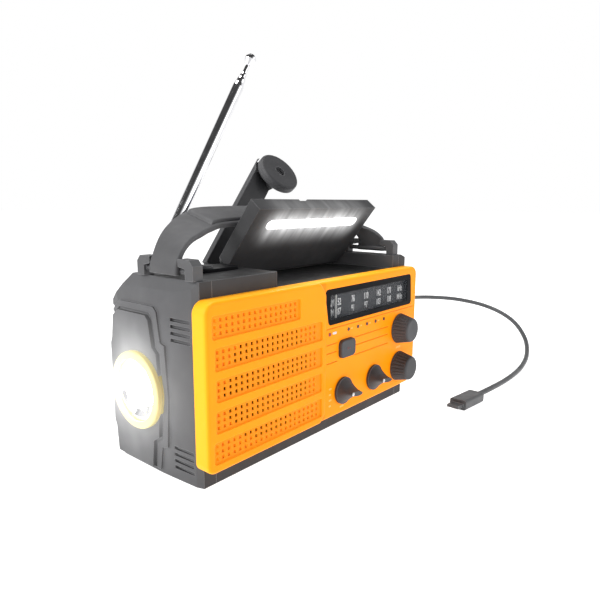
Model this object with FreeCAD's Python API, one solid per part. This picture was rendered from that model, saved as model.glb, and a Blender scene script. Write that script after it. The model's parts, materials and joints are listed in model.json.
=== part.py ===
import FreeCAD, Part
import math
import os
from FreeCAD import Vector as V

os.makedirs("parts", exist_ok=True)

# Portable emergency radio, in millimetres.  X runs along the front from the lamp end (low X) to
# the socket end, Y runs from the front to the back, Z is up.  The dark body's lamp end, front
# face and base are at 0 while the pieces are drawn; save() then moves them to the part's origin.

# ---- driving dimensions -------------------------------------------------------------------
BODY_W, BODY_D, BODY_H = 165.0, 60.0, 87.0
WALL = 2.4
BEVEL_Y, BEVEL_Z = 44.5, 73.6           # where the rear bevel starts on the top and on the back
CAP_W = 10.0                            # width of each end cap
RECESS_X0, RECESS_X1 = 48.4, 148.4      # pocket for the solar panel
RECESS_Y1, RECESS_Z = 44.6, 79.3
COVER_PROUD = 7.0                       # front cover stands this far in front of the body
COVER_X0, COVER_X1 = -0.4, 165.4
COVER_Z0, COVER_Z1 = 9.2, 80.0
ORIGIN = V(-80.7, -33.538, 0.0)          # centres the whole object over the origin

SLOT_PITCH, ROW_PITCH, COL_PITCH = 13.0, 2.7, 3.2
SPEAKER_X, SPEAKER_Z, SPEAKER_R = 36.0, 41.0, 25.5

PANEL_X0, PANEL_X1 = 49.6, 146.4
PANEL_T, PANEL_LEN, PANEL_TILT = 7.3, 41.7, 51.6
PANEL_PIN = V(0, 40.5, 84.1)            # hinge axis of the solar panel (any X)

STRAP_T = 2.4
TUBE_BASE = V(20.5, 53.9, 84.5)         # antenna tilt pivot
TUBE_TILT = 58.4                        # degrees above the horizontal
CRANK_AXIS_X, CRANK_AXIS_Z = 59.3, 67.9
ARM_END = V(127.0, 80.9, 138.3)         # middle of the crank arm's far end
KNOB_FACE = V(128.4, 70.8, 136.6)       # middle of the crank knob's outer face
KNOB_TILT = 39.0                        # the crank knob's axis rises this much towards the front
GEAR_M = 0.6                            # gear module
GEAR_PA = math.radians(25.0)

BOARD_Y = 11.0                          # front face of the circuit board
BOARD_POSTS = [(69.0, 17.0), (69.0, 71.0), (134.4, 16.6)]
CABLE_D = 3.2
SOCKET_Y, SOCKET_Z = 22.0, 52.0         # output socket in the socket end


# ---- small helpers ------------------------------------------------------------------------
def save(name, *solids):
    """Write one node: its solids, moved to the part's origin."""
    shapes = []
    for solid in solids:
        moved = solid.copy()
        moved.translate(ORIGIN)
        shapes.extend(moved.Solids)
    result = shapes[0] if len(shapes) == 1 else Part.makeCompound(shapes)
    assert result.isValid(), name
    result.exportStep("parts/%s.step" % name)
    box = result.optimalBoundingBox(False, False)
    BOXES[name] = box
    print("%-24s %2d solids  x %7.1f %7.1f  y %7.1f %7.1f  z %7.1f %7.1f  vol %9.1f" % (
        name, len(shapes), box.XMin, box.XMax, box.YMin, box.YMax, box.ZMin, box.ZMax,
        result.Volume))


BOXES = {}


def block(x0, x1, y0, y1, z0, z1):
    return Part.makeBox(x1 - x0, y1 - y0, z1 - z0, V(x0, y0, z0))


def rod(start, end, radius):
    axis = end - start
    return Part.makeCylinder(radius, axis.Length, start, axis)


def ring(start, end, outer, inner):
    return rod(start, end, outer).cut(rod(start, end, inner))


def cone(start, end, r0, r1):
    axis = end - start
    return Part.makeCone(r0, r1, axis.Length, start, axis)


def joined(shapes):
    first = shapes[0]
    return first.multiFuse(shapes[1:]).removeSplitter() if len(shapes) > 1 else first


def rounded_face(points, radii):
    """A flat face through 3-D points, each corner rounded by its radius."""
    edges = []
    ends = []
    count = len(points)
    for i in range(count):
        here, radius = points[i], radii[i]
        to_prev = points[i - 1] - here
        to_next = points[(i + 1) % count] - here
        if radius <= 0:
            ends.append((here, here))
            continue
        to_prev.normalize()
        to_next.normalize()
        half = math.acos(max(-1.0, min(1.0, to_prev.dot(to_next)))) / 2
        back = radius / math.tan(half)
        first, last = here + to_prev * back, here + to_next * back
        middle_dir = to_prev + to_next
        middle_dir.normalize()
        centre = here + middle_dir * (radius / math.sin(half))
        edges.append(Part.Arc(first, centre - middle_dir * radius, last).toShape())
        ends.append((first, last))
    for i in range(count):
        start, end = ends[i][1], ends[(i + 1) % count][0]
        if (end - start).Length > 1e-6:
            edges.append(Part.LineSegment(start, end).toShape())
    return Part.Face(Part.Wire(Part.__sortEdges__(edges)))


def plate_xz(points, y0, y1, radius=0.0):
    """Prism along Y from an outline of (x, z) points."""
    radii = [radius] * len(points) if not isinstance(radius, list) else radius
    return rounded_face([V(x, y0, z) for x, z in points], radii).extrude(V(0, y1 - y0, 0))


def plate_yz(points, x0, x1, radius=0.0):
    radii = [radius] * len(points) if not isinstance(radius, list) else radius
    return rounded_face([V(x0, y, z) for y, z in points], radii).extrude(V(x1 - x0, 0, 0))


def plate_xy(points, z0, z1, radius=0.0):
    radii = [radius] * len(points) if not isinstance(radius, list) else radius
    return rounded_face([V(x, y, z0) for x, y in points], radii).extrude(V(0, 0, z1 - z0))


def rect(a0, a1, b0, b1):
    return [(a0, b0), (a1, b0), (a1, b1), (a0, b1)]


def fillet_where(shape, radius, test):
    """Round the edges whose bounding box passes the test."""
    chosen = [e for e in shape.Edges if test(e.BoundBox)]
    return shape.makeFillet(radius, chosen)


# ---- main housing -------------------------------------------------------------------------
def body_section(inset):
    """Side view (y, z) of the body, with its rear bevel, drawn in by inset."""
    slope = math.atan2(BODY_H - BEVEL_Z, BODY_D - BEVEL_Y)
    run = inset * math.tan(slope / 2)
    rise = inset * math.tan((math.pi / 2 - slope) / 2)
    return [(inset, inset), (BODY_D - inset, inset), (BODY_D - inset, BEVEL_Z - rise),
            (BEVEL_Y - run, BODY_H - inset), (inset, BODY_H - inset)]


def main_housing():
    shell = plate_yz(body_section(0), CAP_W, BODY_W - CAP_W)
    shell = shell.cut(block(RECESS_X0, RECESS_X1, -1, RECESS_Y1, RECESS_Z, BODY_H + 1))
    low_roof = RECESS_Z - WALL
    inside = plate_yz(body_section(WALL), CAP_W - 1, BODY_W - CAP_W + 1)
    keep = block(RECESS_X0 - WALL, RECESS_X1 + WALL, -1, RECESS_Y1 + WALL, low_roof, BODY_H + 2)
    shell = shell.cut(inside.cut(keep))
    shell = shell.cut(block(14, 151, -1, WALL + 0.1, 13, 76))
    shell = shell.cut(rod(V(CRANK_AXIS_X, BODY_D - 8, CRANK_AXIS_Z),
                          V(CRANK_AXIS_X, BODY_D + 1, CRANK_AXIS_Z), 5.05))
    # battery door opening in the back, top button hole, hinge pin sockets, antenna foot hole
    dx0, dx1, dz0, dz1 = DOOR
    shell = shell.cut(block(dx0, dx1, BODY_D - WALL - 1, BODY_D + 1, dz0, dz1))
    shell = shell.cut(block(dx0 - 1.5, dx1 + 1.5, BODY_D - 1.2, BODY_D + 1, dz0 - 1.5, dz1 + 1.5))
    shell = shell.cut(rod(V(TOP_BUTTON.x, TOP_BUTTON.y, BODY_H - 4),
                          V(TOP_BUTTON.x, TOP_BUTTON.y, BODY_H + 1), 4.6))
    for x0, x1 in ((RECESS_X0 - 2.0, RECESS_X0 + 1), (RECESS_X1 - 1, RECESS_X1 + 2.0)):
        shell = shell.cut(rod(V(x0, PANEL_PIN.y, PANEL_PIN.z), V(x1, PANEL_PIN.y, PANEL_PIN.z), 1.05))
    shell = shell.cut(rod(V(TUBE_BASE.x, TUBE_BASE.y, 60), V(TUBE_BASE.x, TUBE_BASE.y, 90), 2.05))
    # screw bosses for the front cover
    for x, z in COVER_SCREWS:
        boss = rod(V(x, WALL, z), V(x, 12, z), 3.0)
        if x < 14 or x > 151 or z < 13 or z > 76:
            shell = shell.fuse(boss)
        shell = shell.cut(rod(V(x, -1, z), V(x, 10, z), 1.3))
    # battery tray behind the door opening
    tray = block(dx0 - 1.2, dx1 + 1.2, 44.5, BODY_D - WALL, dz0 - 1.2, dz1 + 1.2)
    shell = shell.fuse(tray.cut(block(dx0, dx1, 45.7, BODY_D, dz0, dz1)))
    return shell.removeSplitter()


TOP_BUTTON = V(27.0, 25.5, BODY_H)
DOOR = (98.0, 146.5, 10.5, 44.5)        # battery opening in the back: x, x, z, z
COVER_SCREWS = [(12.4, 10.9), (152.6, 10.9), (12.4, 77.6), (152.6, 77.6)]


# ---- lamp end cap -------------------------------------------------------------------------
LAMP_Y, LAMP_Z, LAMP_R = 37.0, 36.5, 17.4
END_FACE_X = 0.9                        # base face of the lamp end, under the two stepped pads


def cap_blank(x_out, x_in, top_run, top_drop):
    """Solid end cap: the body's section with two bevels over the top of its end face."""
    direction = 1 if x_in > x_out else -1
    low, high = min(x_out, x_in), max(x_out, x_in)
    blank = plate_yz(body_section(0), low, high)
    outline = [(x_out + direction * top_run, BODY_H), (x_out + direction * top_run * 0.3,
               BODY_H - top_drop * 0.42), (x_out, BODY_H - top_drop), (x_out, 0),
               (x_in, 0), (x_in, BODY_H)]
    blank = blank.common(plate_xz(outline, -1, BODY_D + 1))
    # the upright corners are shaved: a slim bevel at the front, the same at the back
    plan = [(x_out + direction * 2.6, 0), (x_out + direction * 1.4, 3.4), (x_out + direction * 0.6, 15),
            (x_out, 25), (x_out, BODY_D - 6), (x_out + direction * 1.2, BODY_D), (x_in, BODY_D),
            (x_in, 0)]
    return blank.common(plate_xy(plan, -1, BODY_H + 1))


PAD_TOP, PAD_LOW = 70.4, 2.4


def pad_outline(grow):
    """Stepped shield outline (y, z) of the raised lamp pad: wide in the middle, narrower at both ends."""
    g, h = grow, grow * 0.12
    return [(29.0 - g, PAD_LOW - h), (27.5 - g, 15.0 - g * 0.6), (23.6 - g, 17.5 - g),
            (22.2 - g, 36.0), (23.6 - g, 54.5 + g), (26.4 - g, 57.0 + g * 0.6),
            (28.4 - g, 68.4 + g), (30.6 - g, PAD_TOP + g), (51.0 + h, PAD_TOP + g),
            (55.0 + h, PAD_TOP - 3 + g), (56.6 + h, 57.0 + h), (57.8 + h, 54.0 + h),
            (57.8 + h, 17.0 - h), (56.6 + h, 14.5 - h), (55.6 + h, PAD_LOW - h)]


def lamp_end_cap():
    cap = cap_blank(END_FACE_X, CAP_W, 2.4, 12.6)
    hollow = plate_yz(body_section(WALL), END_FACE_X + 2.2, CAP_W + 1)
    cap = cap.cut(hollow)
    outer = plate_yz(pad_outline(4.0), END_FACE_X - 0.9, END_FACE_X + 1.0)
    inner = plate_yz(pad_outline(0.0), END_FACE_X - 2.3, END_FACE_X + 1.0)
    trough = plate_yz(pad_outline(1.3), END_FACE_X - 1.6, END_FACE_X - 0.2)
    cap = cap.fuse(outer.cut(trough)).fuse(inner)
    # four finger ribs cut near the top and the bottom of both upright edges
    for z0 in (59.6, 3.6):
        for i in range(4):
            z = z0 + 1.2 + i * 2.9
            cap = cap.cut(block(-4, END_FACE_X + 1.9, 4.6, 16.6, z, z + 1.4))
            cap = cap.cut(block(-4, END_FACE_X + 2.3, BODY_D - 1.6, BODY_D + 1, z, z + 1.4))
    # lamp well
    cap = cap.cut(rod(V(-6, LAMP_Y, LAMP_Z), V(END_FACE_X + 1.4, LAMP_Y, LAMP_Z), LAMP_R - 0.9))
    cap = cap.cut(rod(V(-6, LAMP_Y, LAMP_Z), V(6, LAMP_Y, LAMP_Z), 9.0))
    return cap.removeSplitter()


def lamp_parts():
    axis = lambda x: V(x, LAMP_Y, LAMP_Z)
    bezel = ring(axis(-4.0), axis(END_FACE_X + 1.35), LAMP_R - 0.95, LAMP_R - 3.4)
    rim = ring(axis(-4.0), axis(-1.45), LAMP_R, LAMP_R - 1.2)
    bezel = bezel.fuse(rim).removeSplitter()
    bezel = fillet_where(bezel, 0.8, lambda b: b.XMin < -3.9 and b.XMax < -3.9 and b.YLength > 30)
    reflector = cone(axis(-2.6), axis(END_FACE_X + 1.3), LAMP_R - 3.45, 10.0)
    reflector = reflector.cut(cone(axis(-2.7), axis(END_FACE_X + 0.4), LAMP_R - 5.0, 7.4))
    reflector = reflector.cut(rod(axis(-3), axis(3), 7.4))
    chip = rod(axis(0.3), axis(2.4), 7.3)
    dome = Part.makeSphere(34.0, V(30.2, LAMP_Y, LAMP_Z))
    lens = rod(axis(-5), axis(-2.7), LAMP_R - 3.45).common(dome)
    heat_sink = rod(axis(2.3), axis(5.5), 8.8)
    for i in range(-2, 3):
        heat_sink = heat_sink.cut(block(3.6, 6, LAMP_Y + i * 3.2 - 0.6, LAMP_Y + i * 3.2 + 0.6, 20, 50))
    return bezel, reflector, joined([chip, heat_sink]), lens


# ---- socket end cap -----------------------------------------------------------------------
def socket_end_cap():
    """Plain end with its top edge cut off and three sockets."""
    cap = cap_blank(BODY_W, BODY_W - CAP_W, 7.6, 4.4)
    cap = cap.cut(plate_yz(body_section(WALL), BODY_W - CAP_W - 1, BODY_W - 2.4))
    # output socket, input socket, earphone socket
    cap = cap.cut(block(BODY_W - 6, BODY_W + 1, SOCKET_Y - 6.9, SOCKET_Y + 6.9,
                        SOCKET_Z - 3.7, SOCKET_Z + 3.7))
    cap = cap.cut(plate_yz(rect(32.4, 41.6, 50.2, 53.8), BODY_W - 6, BODY_W + 1, 1.7))
    cap = cap.cut(rod(V(BODY_W - 6, 37, 34), V(BODY_W + 1, 37, 34), 3.05))
    return cap.removeSplitter()


def socket_parts():
    x0 = BODY_W - 13
    usb = block(x0, BODY_W - 1.3, SOCKET_Y - 6.8, SOCKET_Y + 6.8, SOCKET_Z - 3.6, SOCKET_Z + 3.6)
    usb = usb.cut(block(x0 + 1, BODY_W, SOCKET_Y - 6.2, SOCKET_Y + 6.2, SOCKET_Z - 3.0, SOCKET_Z + 3.0))
    tongue = block(x0 + 1, BODY_W - 3, SOCKET_Y - 5, SOCKET_Y + 5, SOCKET_Z + 0.9, SOCKET_Z + 2.4)
    usb = usb.fuse(tongue)
    micro = plate_yz(rect(32.5, 41.5, 50.3, 53.7), x0 + 3, BODY_W - 1.3, 1.6)
    micro = micro.cut(plate_yz(rect(33.1, 40.9, 50.9, 53.1), x0 + 4, BODY_W, 1.0))
    micro = micro.fuse(block(x0 + 3.5, BODY_W - 3, 34.5, 39.5, 51.7, 52.3))
    jack = ring(V(x0 + 1, 37, 34), V(BODY_W - 0.1, 37, 34), 3.0, 1.8)
    return usb, micro, jack


# ---- front cover --------------------------------------------------------------------------
def slot_rows():
    """Left end, right end and top row height of each of the five grille slots."""
    rows = []
    for i in range(5):
        bow = 0.9 - 0.45 * (i - 2) ** 2
        left = 5.6 + bow * 0.9
        right = 54.6 if i == 0 else 71.2
        rows.append((left, right, 72.5 - SLOT_PITCH * i))
    return rows


def grille_holes():
    """(x, z, open) of every dimple: the ones over the speaker go right through."""
    holes = []
    for left, right, top in slot_rows():
        count = int((right - left - 1.6) / COL_PITCH) + 1
        for row in range(3):
            for col in range(count):
                x, z = left + COL_PITCH * col, top - ROW_PITCH * row
                reach = math.hypot((x - SPEAKER_X) / 1.05, z - SPEAKER_Z)
                holes.append((x, z, reach < SPEAKER_R and top < 70))
    return holes


WINDOW = (74.6, 158.0, 57.8, 76.0)
WINDOW_LEAN = 3.4
GRILLE_X1 = 75.6
TUNING_XZ, VOLUME_XZ = (146.2, 44.9), (146.2, 22.2)
BAND_XZ, MODE_XZ = (90.6, 21.7), (119.6, 21.7)
POWER = (86.6, 99.4, 39.2, 48.8)
STATUS_XZ = (79.0, 53.3)
DOT_XZ = [(95.0 + 8.5 * i, 53.3) for i in range(5)]
KNOB_LONG = 9.0                         # height of the two round knobs
SHAFT_R, SHAFT_GRIP = 2.97, 6.0
COVER_CUT = 8.5                         # size of the cover's cut corner by the volume knob


def cover_outline(grow=0.0):
    x0, x1, z0, z1 = COVER_X0 - grow, COVER_X1 + grow, COVER_Z0 - grow, COVER_Z1 + grow
    points = [(x0, z0), (x1 - COVER_CUT * 0.7, z0), (x1, z0 + COVER_CUT * 1.5), (x1, z1), (x0, z1)]
    radii = [4.0 + grow, 3.0 + grow, 5.0 + grow, 5.0 + grow, 5.5 + grow]
    return points, radii


def window_outline(inset):
    """Dial window (x, z): its lower corner leans in at the grille side and out at the other."""
    x0, x1, z0, z1 = WINDOW
    return [(x0 + WINDOW_LEAN + inset, z0 + inset), (x1 + inset * 0.1 + 1.6 - inset, z0 + inset),
            (x1 - inset, z1 - inset), (x0 + inset, z1 - inset)]


def front_cover():
    front = -COVER_PROUD
    points, radii = cover_outline()
    cover = plate_xz(points, front, 0, radii)
    cover = fillet_where(cover, 1.6, lambda b: b.YMax < front + 0.01)
    # the grille side stands 0.9 mm prouder than the control side
    pad = plate_xz([(COVER_X0, COVER_Z0), (GRILLE_X1 - 4, COVER_Z0), (GRILLE_X1, COVER_Z0 + 4),
                    (GRILLE_X1, COVER_Z1 - 6), (GRILLE_X1 - 4.4, COVER_Z1), (COVER_X0, COVER_Z1)],
                   front - 0.9, front + 3, [4.0, 1.6, 1.6, 4.0, 4.0, 5.5])
    pad = fillet_where(pad, 1.5, lambda b: b.YMax < front - 0.85)
    cover = cover.fuse(pad).removeSplitter()
    inside, inner_radii = cover_outline(-2.3)
    cover = cover.cut(plate_xz(inside, front + 2.4, 0.5, inner_radii))
    # recessed slots with a rounded outline, then the dimples and holes in them
    cuts = []
    for left, right, top in slot_rows():
        z0, z1 = top - 2 * ROW_PITCH - 2.2, top + 2.0
        cuts.append(plate_xz(rect(left - 2.0, right + 1.2, z0, z1), front - 2, front - 0.1, 1.2))
    for x, z, through in grille_holes():
        depth = front + 3 if through else front + 0.6
        half = 0.75
        cuts.append(block(x - half, x + half, front - 1, depth, z - half, z + half))
    cover = cover.cut(Part.makeCompound(cuts))
    wx0, wx1, wz0, wz1 = WINDOW
    cover = cover.cut(plate_xz(window_outline(0), front - 1, front + 3, 2.4))
    px0, px1, pz0, pz1 = POWER
    cover = cover.cut(plate_xz(rect(px0, px1, pz0, pz1), front - 1, front + 3, 2.6))
    for x, z in [STATUS_XZ] + DOT_XZ:
        cover = cover.cut(rod(V(x, front - 1, z), V(x, front + 3, z), 1.0))
    for x, z in (TUNING_XZ, VOLUME_XZ, BAND_XZ, MODE_XZ):
        cover = cover.cut(rod(V(x, front - 1, z), V(x, front + 3, z), 3.4))
    # three engraved lines between the status lamps and the tuning knob
    for z, x0, x1 in ((56.1, 76.6, 164.0), (48.0, 76.6, 85.6), (48.0, 100.6, 134.5),
                      (43.6, 76.6, 85.6), (43.6, 100.6, 134.5), (38.4, 76.6, 85.6), (38.4, 100.6, 134.5)):
        cover = cover.cut(block(x0, x1, front - 1, front + 0.35, z - 0.3, z + 0.3))
    # screw posts
    for x, z in COVER_SCREWS:
        post = ring(V(x, front + 2.4, z), V(x, 0, z), 2.4, 1.1)
        cover = cover.fuse(post.common(plate_xz(inside, front, 0.1, inner_radii)))
        cover = cover.cut(rod(V(x, front + 2.3, z), V(x, 1, z), 1.12))
    for x, z in BOARD_POSTS:
        cover = cover.fuse(ring(V(x, front + 2.3, z), V(x, BOARD_Y, z), 2.2, 0.9))
    return cover.removeSplitter()


# ---- dial ---------------------------------------------------------------------------------
def dial_parts():
    front = -COVER_PROUD
    wx0, wx1, wz0, wz1 = WINDOW
    frame = plate_xz(window_outline(0.06), front + 0.1, front + 2.4, 2.35)
    inner = rect(wx0 + 5.0, wx1 - 3.6, wz0 + 2.6, wz1 - 3.2)
    frame = frame.cut(plate_xz(inner, front - 1, front + 3, 0.8))
    flange = plate_xz(rect(wx0 + 0.2, wx1 - 0.2, wz0 - 1.2, wz1 + 0.9), front + 2.4, front + 3.2)
    frame = frame.fuse(flange.cut(plate_xz(inner, front - 1, front + 4, 0.8)))
    frame = frame.cut(block(149.6, wx1, front + 2.4, front + 4, 74.9, 78))
    frame = frame.cut(block(DIAL_LOW_X - 2.2, DIAL_LOW_X + 62.6, front + 1.4, front + 4,
                            wz0 + 0.1, wz0 + 2.7))
    shrunk = rect(wx0 + 5.05, wx1 - 3.65, wz0 + 2.65, wz1 - 3.25)
    lens = plate_xz(shrunk, front + 0.15, front + 0.85, 0.75)
    scale = block(wx0 + 2.0, wx1 - 2.0, front + 3.2, front + 3.8, wz0 + 1.9, wz1 - 1.0)
    # pointer: needle in front of the scale, foot passing under it to the cord behind
    needle = block(DIAL_LOW_X - 0.45, DIAL_LOW_X + 0.45, front + 1.5, front + 2.1, wz0 + 0.7, wz1 - 3.8)
    foot = block(DIAL_LOW_X - 1.6, DIAL_LOW_X + 1.6, front + 1.5, front + 5.3, wz0 + 0.2, wz0 + 1.6)
    foot = foot.cut(rod(V(DIAL_LOW_X - 3, CORD_Y, CORD_TOP), V(DIAL_LOW_X + 3, CORD_Y, CORD_TOP), 0.36))
    pointer = needle.fuse(foot)
    return frame.removeSplitter(), lens, scale, pointer


DIAL_LOW_X = 86.0                       # pointer place at rest, near the low end of the scale
DRUM_R = 13.3                           # cord drum on the tuning shaft
CORD_TOP = TUNING_XZ[1] + DRUM_R        # height of the cord's upper run
CORD_Y = -2.6
GUIDES = [(81.4, CORD_TOP - 1.6), (131.3, CORD_TOP - 4.8)]


def cord_parts():
    """Endless cord round the tuning drum and two guide posts; the pointer clips on its upper run."""
    x, z = TUNING_XZ
    drum = ring(V(x, CORD_Y - 1.0, z), V(x, CORD_Y + 1.0, z), DRUM_R + 0.5, 2.0)
    groove = ring(V(x, CORD_Y - 0.4, z), V(x, CORD_Y + 0.4, z), DRUM_R + 1, DRUM_R - 0.32)
    drum = drum.cut(groove)
    posts = []
    for gx, gz in GUIDES:
        post = rod(V(gx, CORD_Y - 1.1, gz), V(gx, BOARD_Y, gz), 1.25)
        posts.append(post.fuse(rod(V(gx, CORD_Y + 0.5, gz), V(gx, CORD_Y + 1.0, gz), 2.2)))
    (ax, az), (bx, bz) = GUIDES
    r = 1.6
    y = CORD_Y
    s = math.sqrt(0.5)
    path = [Part.LineSegment(V(x, y, z + DRUM_R), V(ax, y, az + r)).toShape(),
            Part.Arc(V(ax, y, az + r), V(ax - r, y, az), V(ax, y, az - r)).toShape(),
            Part.LineSegment(V(ax, y, az - r), V(bx, y, bz + r)).toShape(),
            Part.Arc(V(bx, y, bz + r), V(bx + r * s, y, bz + r * s), V(bx + r, y, bz)).toShape(),
            Part.LineSegment(V(bx + r, y, bz), V(x - DRUM_R, y, z)).toShape(),
            Part.Arc(V(x - DRUM_R, y, z), V(x + DRUM_R * s, y, z - DRUM_R * s),
                     V(x, y, z + DRUM_R)).toShape()]
    wire = Part.Wire(path)
    profile = Part.Wire(Part.makeCircle(0.3, V(x, y, z + DRUM_R), V(1, 0, 0)))
    cord = wire.makePipeShell([profile], True, False)
    return drum, posts, cord


# ---- knobs --------------------------------------------------------------------------------
def fluted_knob(x, z):
    """Conical knob with straight flutes, a skirt at the cover and a slightly domed cap."""
    base = -COVER_PROUD - 0.3
    knob = cone(V(x, base, z), V(x, base - KNOB_LONG, z), 8.8, 6.7)
    knob = fillet_where(knob, 1.4, lambda b: b.YMax < base - KNOB_LONG + 0.1)
    flutes = []
    for i in range(24):
        a = 2 * math.pi * (i + 0.5) / 24
        low = V(x + 8.95 * math.cos(a), base - 0.9, z + 8.95 * math.sin(a))
        high = V(x + 7.25 * math.cos(a), base - KNOB_LONG + 1.1, z + 7.25 * math.sin(a))
        flutes.append(rod(low, high, 0.68))
    knob = knob.cut(Part.makeCompound(flutes))
    return knob.cut(rod(V(x, base + 1, z), V(x, base - SHAFT_GRIP, z), SHAFT_R))


def pointer_knob(x, z):
    """Selector: round skirt that sweeps up into a thin finger bar."""
    base = -COVER_PROUD - 0.3
    turn = math.radians(SELECTOR_ANGLE)
    skirt = rod(V(x, base, z), V(x, base - 1.2, z), 7.1)
    sections = []
    for depth, long_side, short_side in SELECTOR_SECTIONS:
        corners = []
        for i in range(28):
            a = 2 * math.pi * i / 28
            u, w = long_side * math.cos(a), short_side * math.sin(a)
            corners.append(V(x + u * math.cos(turn) - w * math.sin(turn), base - depth,
                             z + u * math.sin(turn) + w * math.cos(turn)))
        sections.append(Part.makePolygon(corners + [corners[0]]))
    finger = Part.makeLoft(sections, True, True)
    return joined([skirt, finger])


# height above the cover, half length and half thickness of the selector's swept finger
SELECTOR_SECTIONS = [(1.1, 6.8, 6.8), (2.2, 6.5, 5.6), (3.4, 6.3, 4.4), (4.6, 6.1, 3.2), (5.8, 5.9, 2.3),
                     (7.0, 5.6, 1.7), (8.2, 5.3, 1.4), (9.0, 5.0, 1.2)]
SELECTOR_ANGLE = -9.0                   # where both pointers stand at rest


def shaft(x, z, grip=3.0):
    """Shaft that turns with the knob, from inside the knob to the control on the board."""
    return rod(V(x, -COVER_PROUD - 0.3 - grip, z), V(x, 7.9, z), SHAFT_R)


def control(x, z):
    """Rotary control on the board behind the cover, with a bore for its shaft."""
    half = 8.0
    body = block(x - half, x + half, 2.6, BOARD_Y, z - half, z + half)
    return body.cut(rod(V(x, 0, z), V(x, 8.2, z), SHAFT_R + 0.06))


# ---- speaker ------------------------------------------------------------------------------
def turned(profile, centre):
    """Solid turned about the axis along Y through centre, from (radius, y) points."""
    points = [V(centre.x + r, y, centre.z) for r, y in profile]
    face = Part.Face(Part.makePolygon(points + [points[0]]))
    return face.revolve(centre, V(0, 1, 0), 360)


def speaker_parts():
    c = lambda y: V(SPEAKER_X, y, SPEAKER_Z)
    basket = turned([(22.8, -4.4), (27.0, -4.4), (27.0, -3.3), (25.6, -3.3), (13.4, 7.0), (8.2, 7.0),
                     (8.2, 5.9), (12.6, 5.9), (23.4, -3.3), (22.8, -3.3)], c(0))
    for i in range(6):
        a = math.radians(60 * i + 30)
        x, z = SPEAKER_X + 18.2 * math.cos(a), SPEAKER_Z + 18.2 * math.sin(a)
        basket = basket.cut(rod(V(x, -2.0, z), V(x, 6.5, z), 3.0))
    cone_shell = turned([(22.4, -4.2), (22.4, -3.7), (7.4, 4.2), (6.6, 4.2), (0.0, 1.4), (0.0, 0.9),
                         (6.9, 3.5)], c(0))
    magnet = rod(c(7.0), c(17.5), 15.0)
    magnet = fillet_where(magnet, 0.8, lambda b: b.YMin > 17.4)
    return joined([basket, magnet]), cone_shell


# ---- gears --------------------------------------------------------------------------------
def involute_gear(teeth, y0, y1, x, z, toward, bore, tooth_at_line=True):
    """Spur gear with its axis along Y.  A tooth (or a gap) points along the angle toward."""
    pitch_r = GEAR_M * teeth / 2
    base_r = pitch_r * math.cos(GEAR_PA)
    tip_r = pitch_r + 0.82 * GEAR_M
    root_r = pitch_r - 1.12 * GEAR_M
    backlash = 0.14
    half_tooth = math.pi / (2 * teeth) - backlash / (2 * pitch_r)
    inv = lambda a: math.tan(a) - a
    flank = []
    steps = 6
    start_r = max(base_r, root_r)
    for i in range(steps + 1):
        r = start_r + (tip_r - start_r) * i / steps
        a = math.acos(min(1.0, base_r / r))
        flank.append((r, half_tooth + inv(GEAR_PA) - inv(a)))
    points = []
    offset = toward if tooth_at_line else toward + math.pi / teeth
    for t in range(teeth):
        mid = offset + 2 * math.pi * t / teeth
        points.append((root_r, mid - math.pi / teeth))
        points.append((root_r, mid - flank[0][1]))
        points += [(r, mid - w) for r, w in flank]
        points += [(r, mid + w) for r, w in reversed(flank)]
        points.append((root_r, mid + flank[0][1]))
    corners = []
    for r, a in points:
        corner = V(x + r * math.cos(a), y0, z + r * math.sin(a))
        if not corners or (corner - corners[-1]).Length > 1e-4:
            corners.append(corner)
    if (corners[0] - corners[-1]).Length < 1e-4:
        corners.pop()
    face = Part.Face(Part.makePolygon(corners + [corners[0]]))
    gear = face.extrude(V(0, y1 - y0, 0))
    if bore > 0:
        gear = gear.cut(rod(V(x, y0 - 1, z), V(x, y1 + 1, z), bore))
    return gear


CRANK_TEETH, IDLER_PINION, IDLER_WHEEL, ROTOR_TEETH = 30, 12, 36, 12
IDLER_ANGLE, ROTOR_ANGLE = math.radians(-60.0), math.radians(-20.0)
IDLER_X = CRANK_AXIS_X + GEAR_M * (CRANK_TEETH + IDLER_PINION) / 2 * math.cos(IDLER_ANGLE)
IDLER_Z = CRANK_AXIS_Z + GEAR_M * (CRANK_TEETH + IDLER_PINION) / 2 * math.sin(IDLER_ANGLE)
ROTOR_X = IDLER_X + GEAR_M * (IDLER_WHEEL + ROTOR_TEETH) / 2 * math.cos(ROTOR_ANGLE)
ROTOR_Z = IDLER_Z + GEAR_M * (IDLER_WHEEL + ROTOR_TEETH) / 2 * math.sin(ROTOR_ANGLE)


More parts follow.
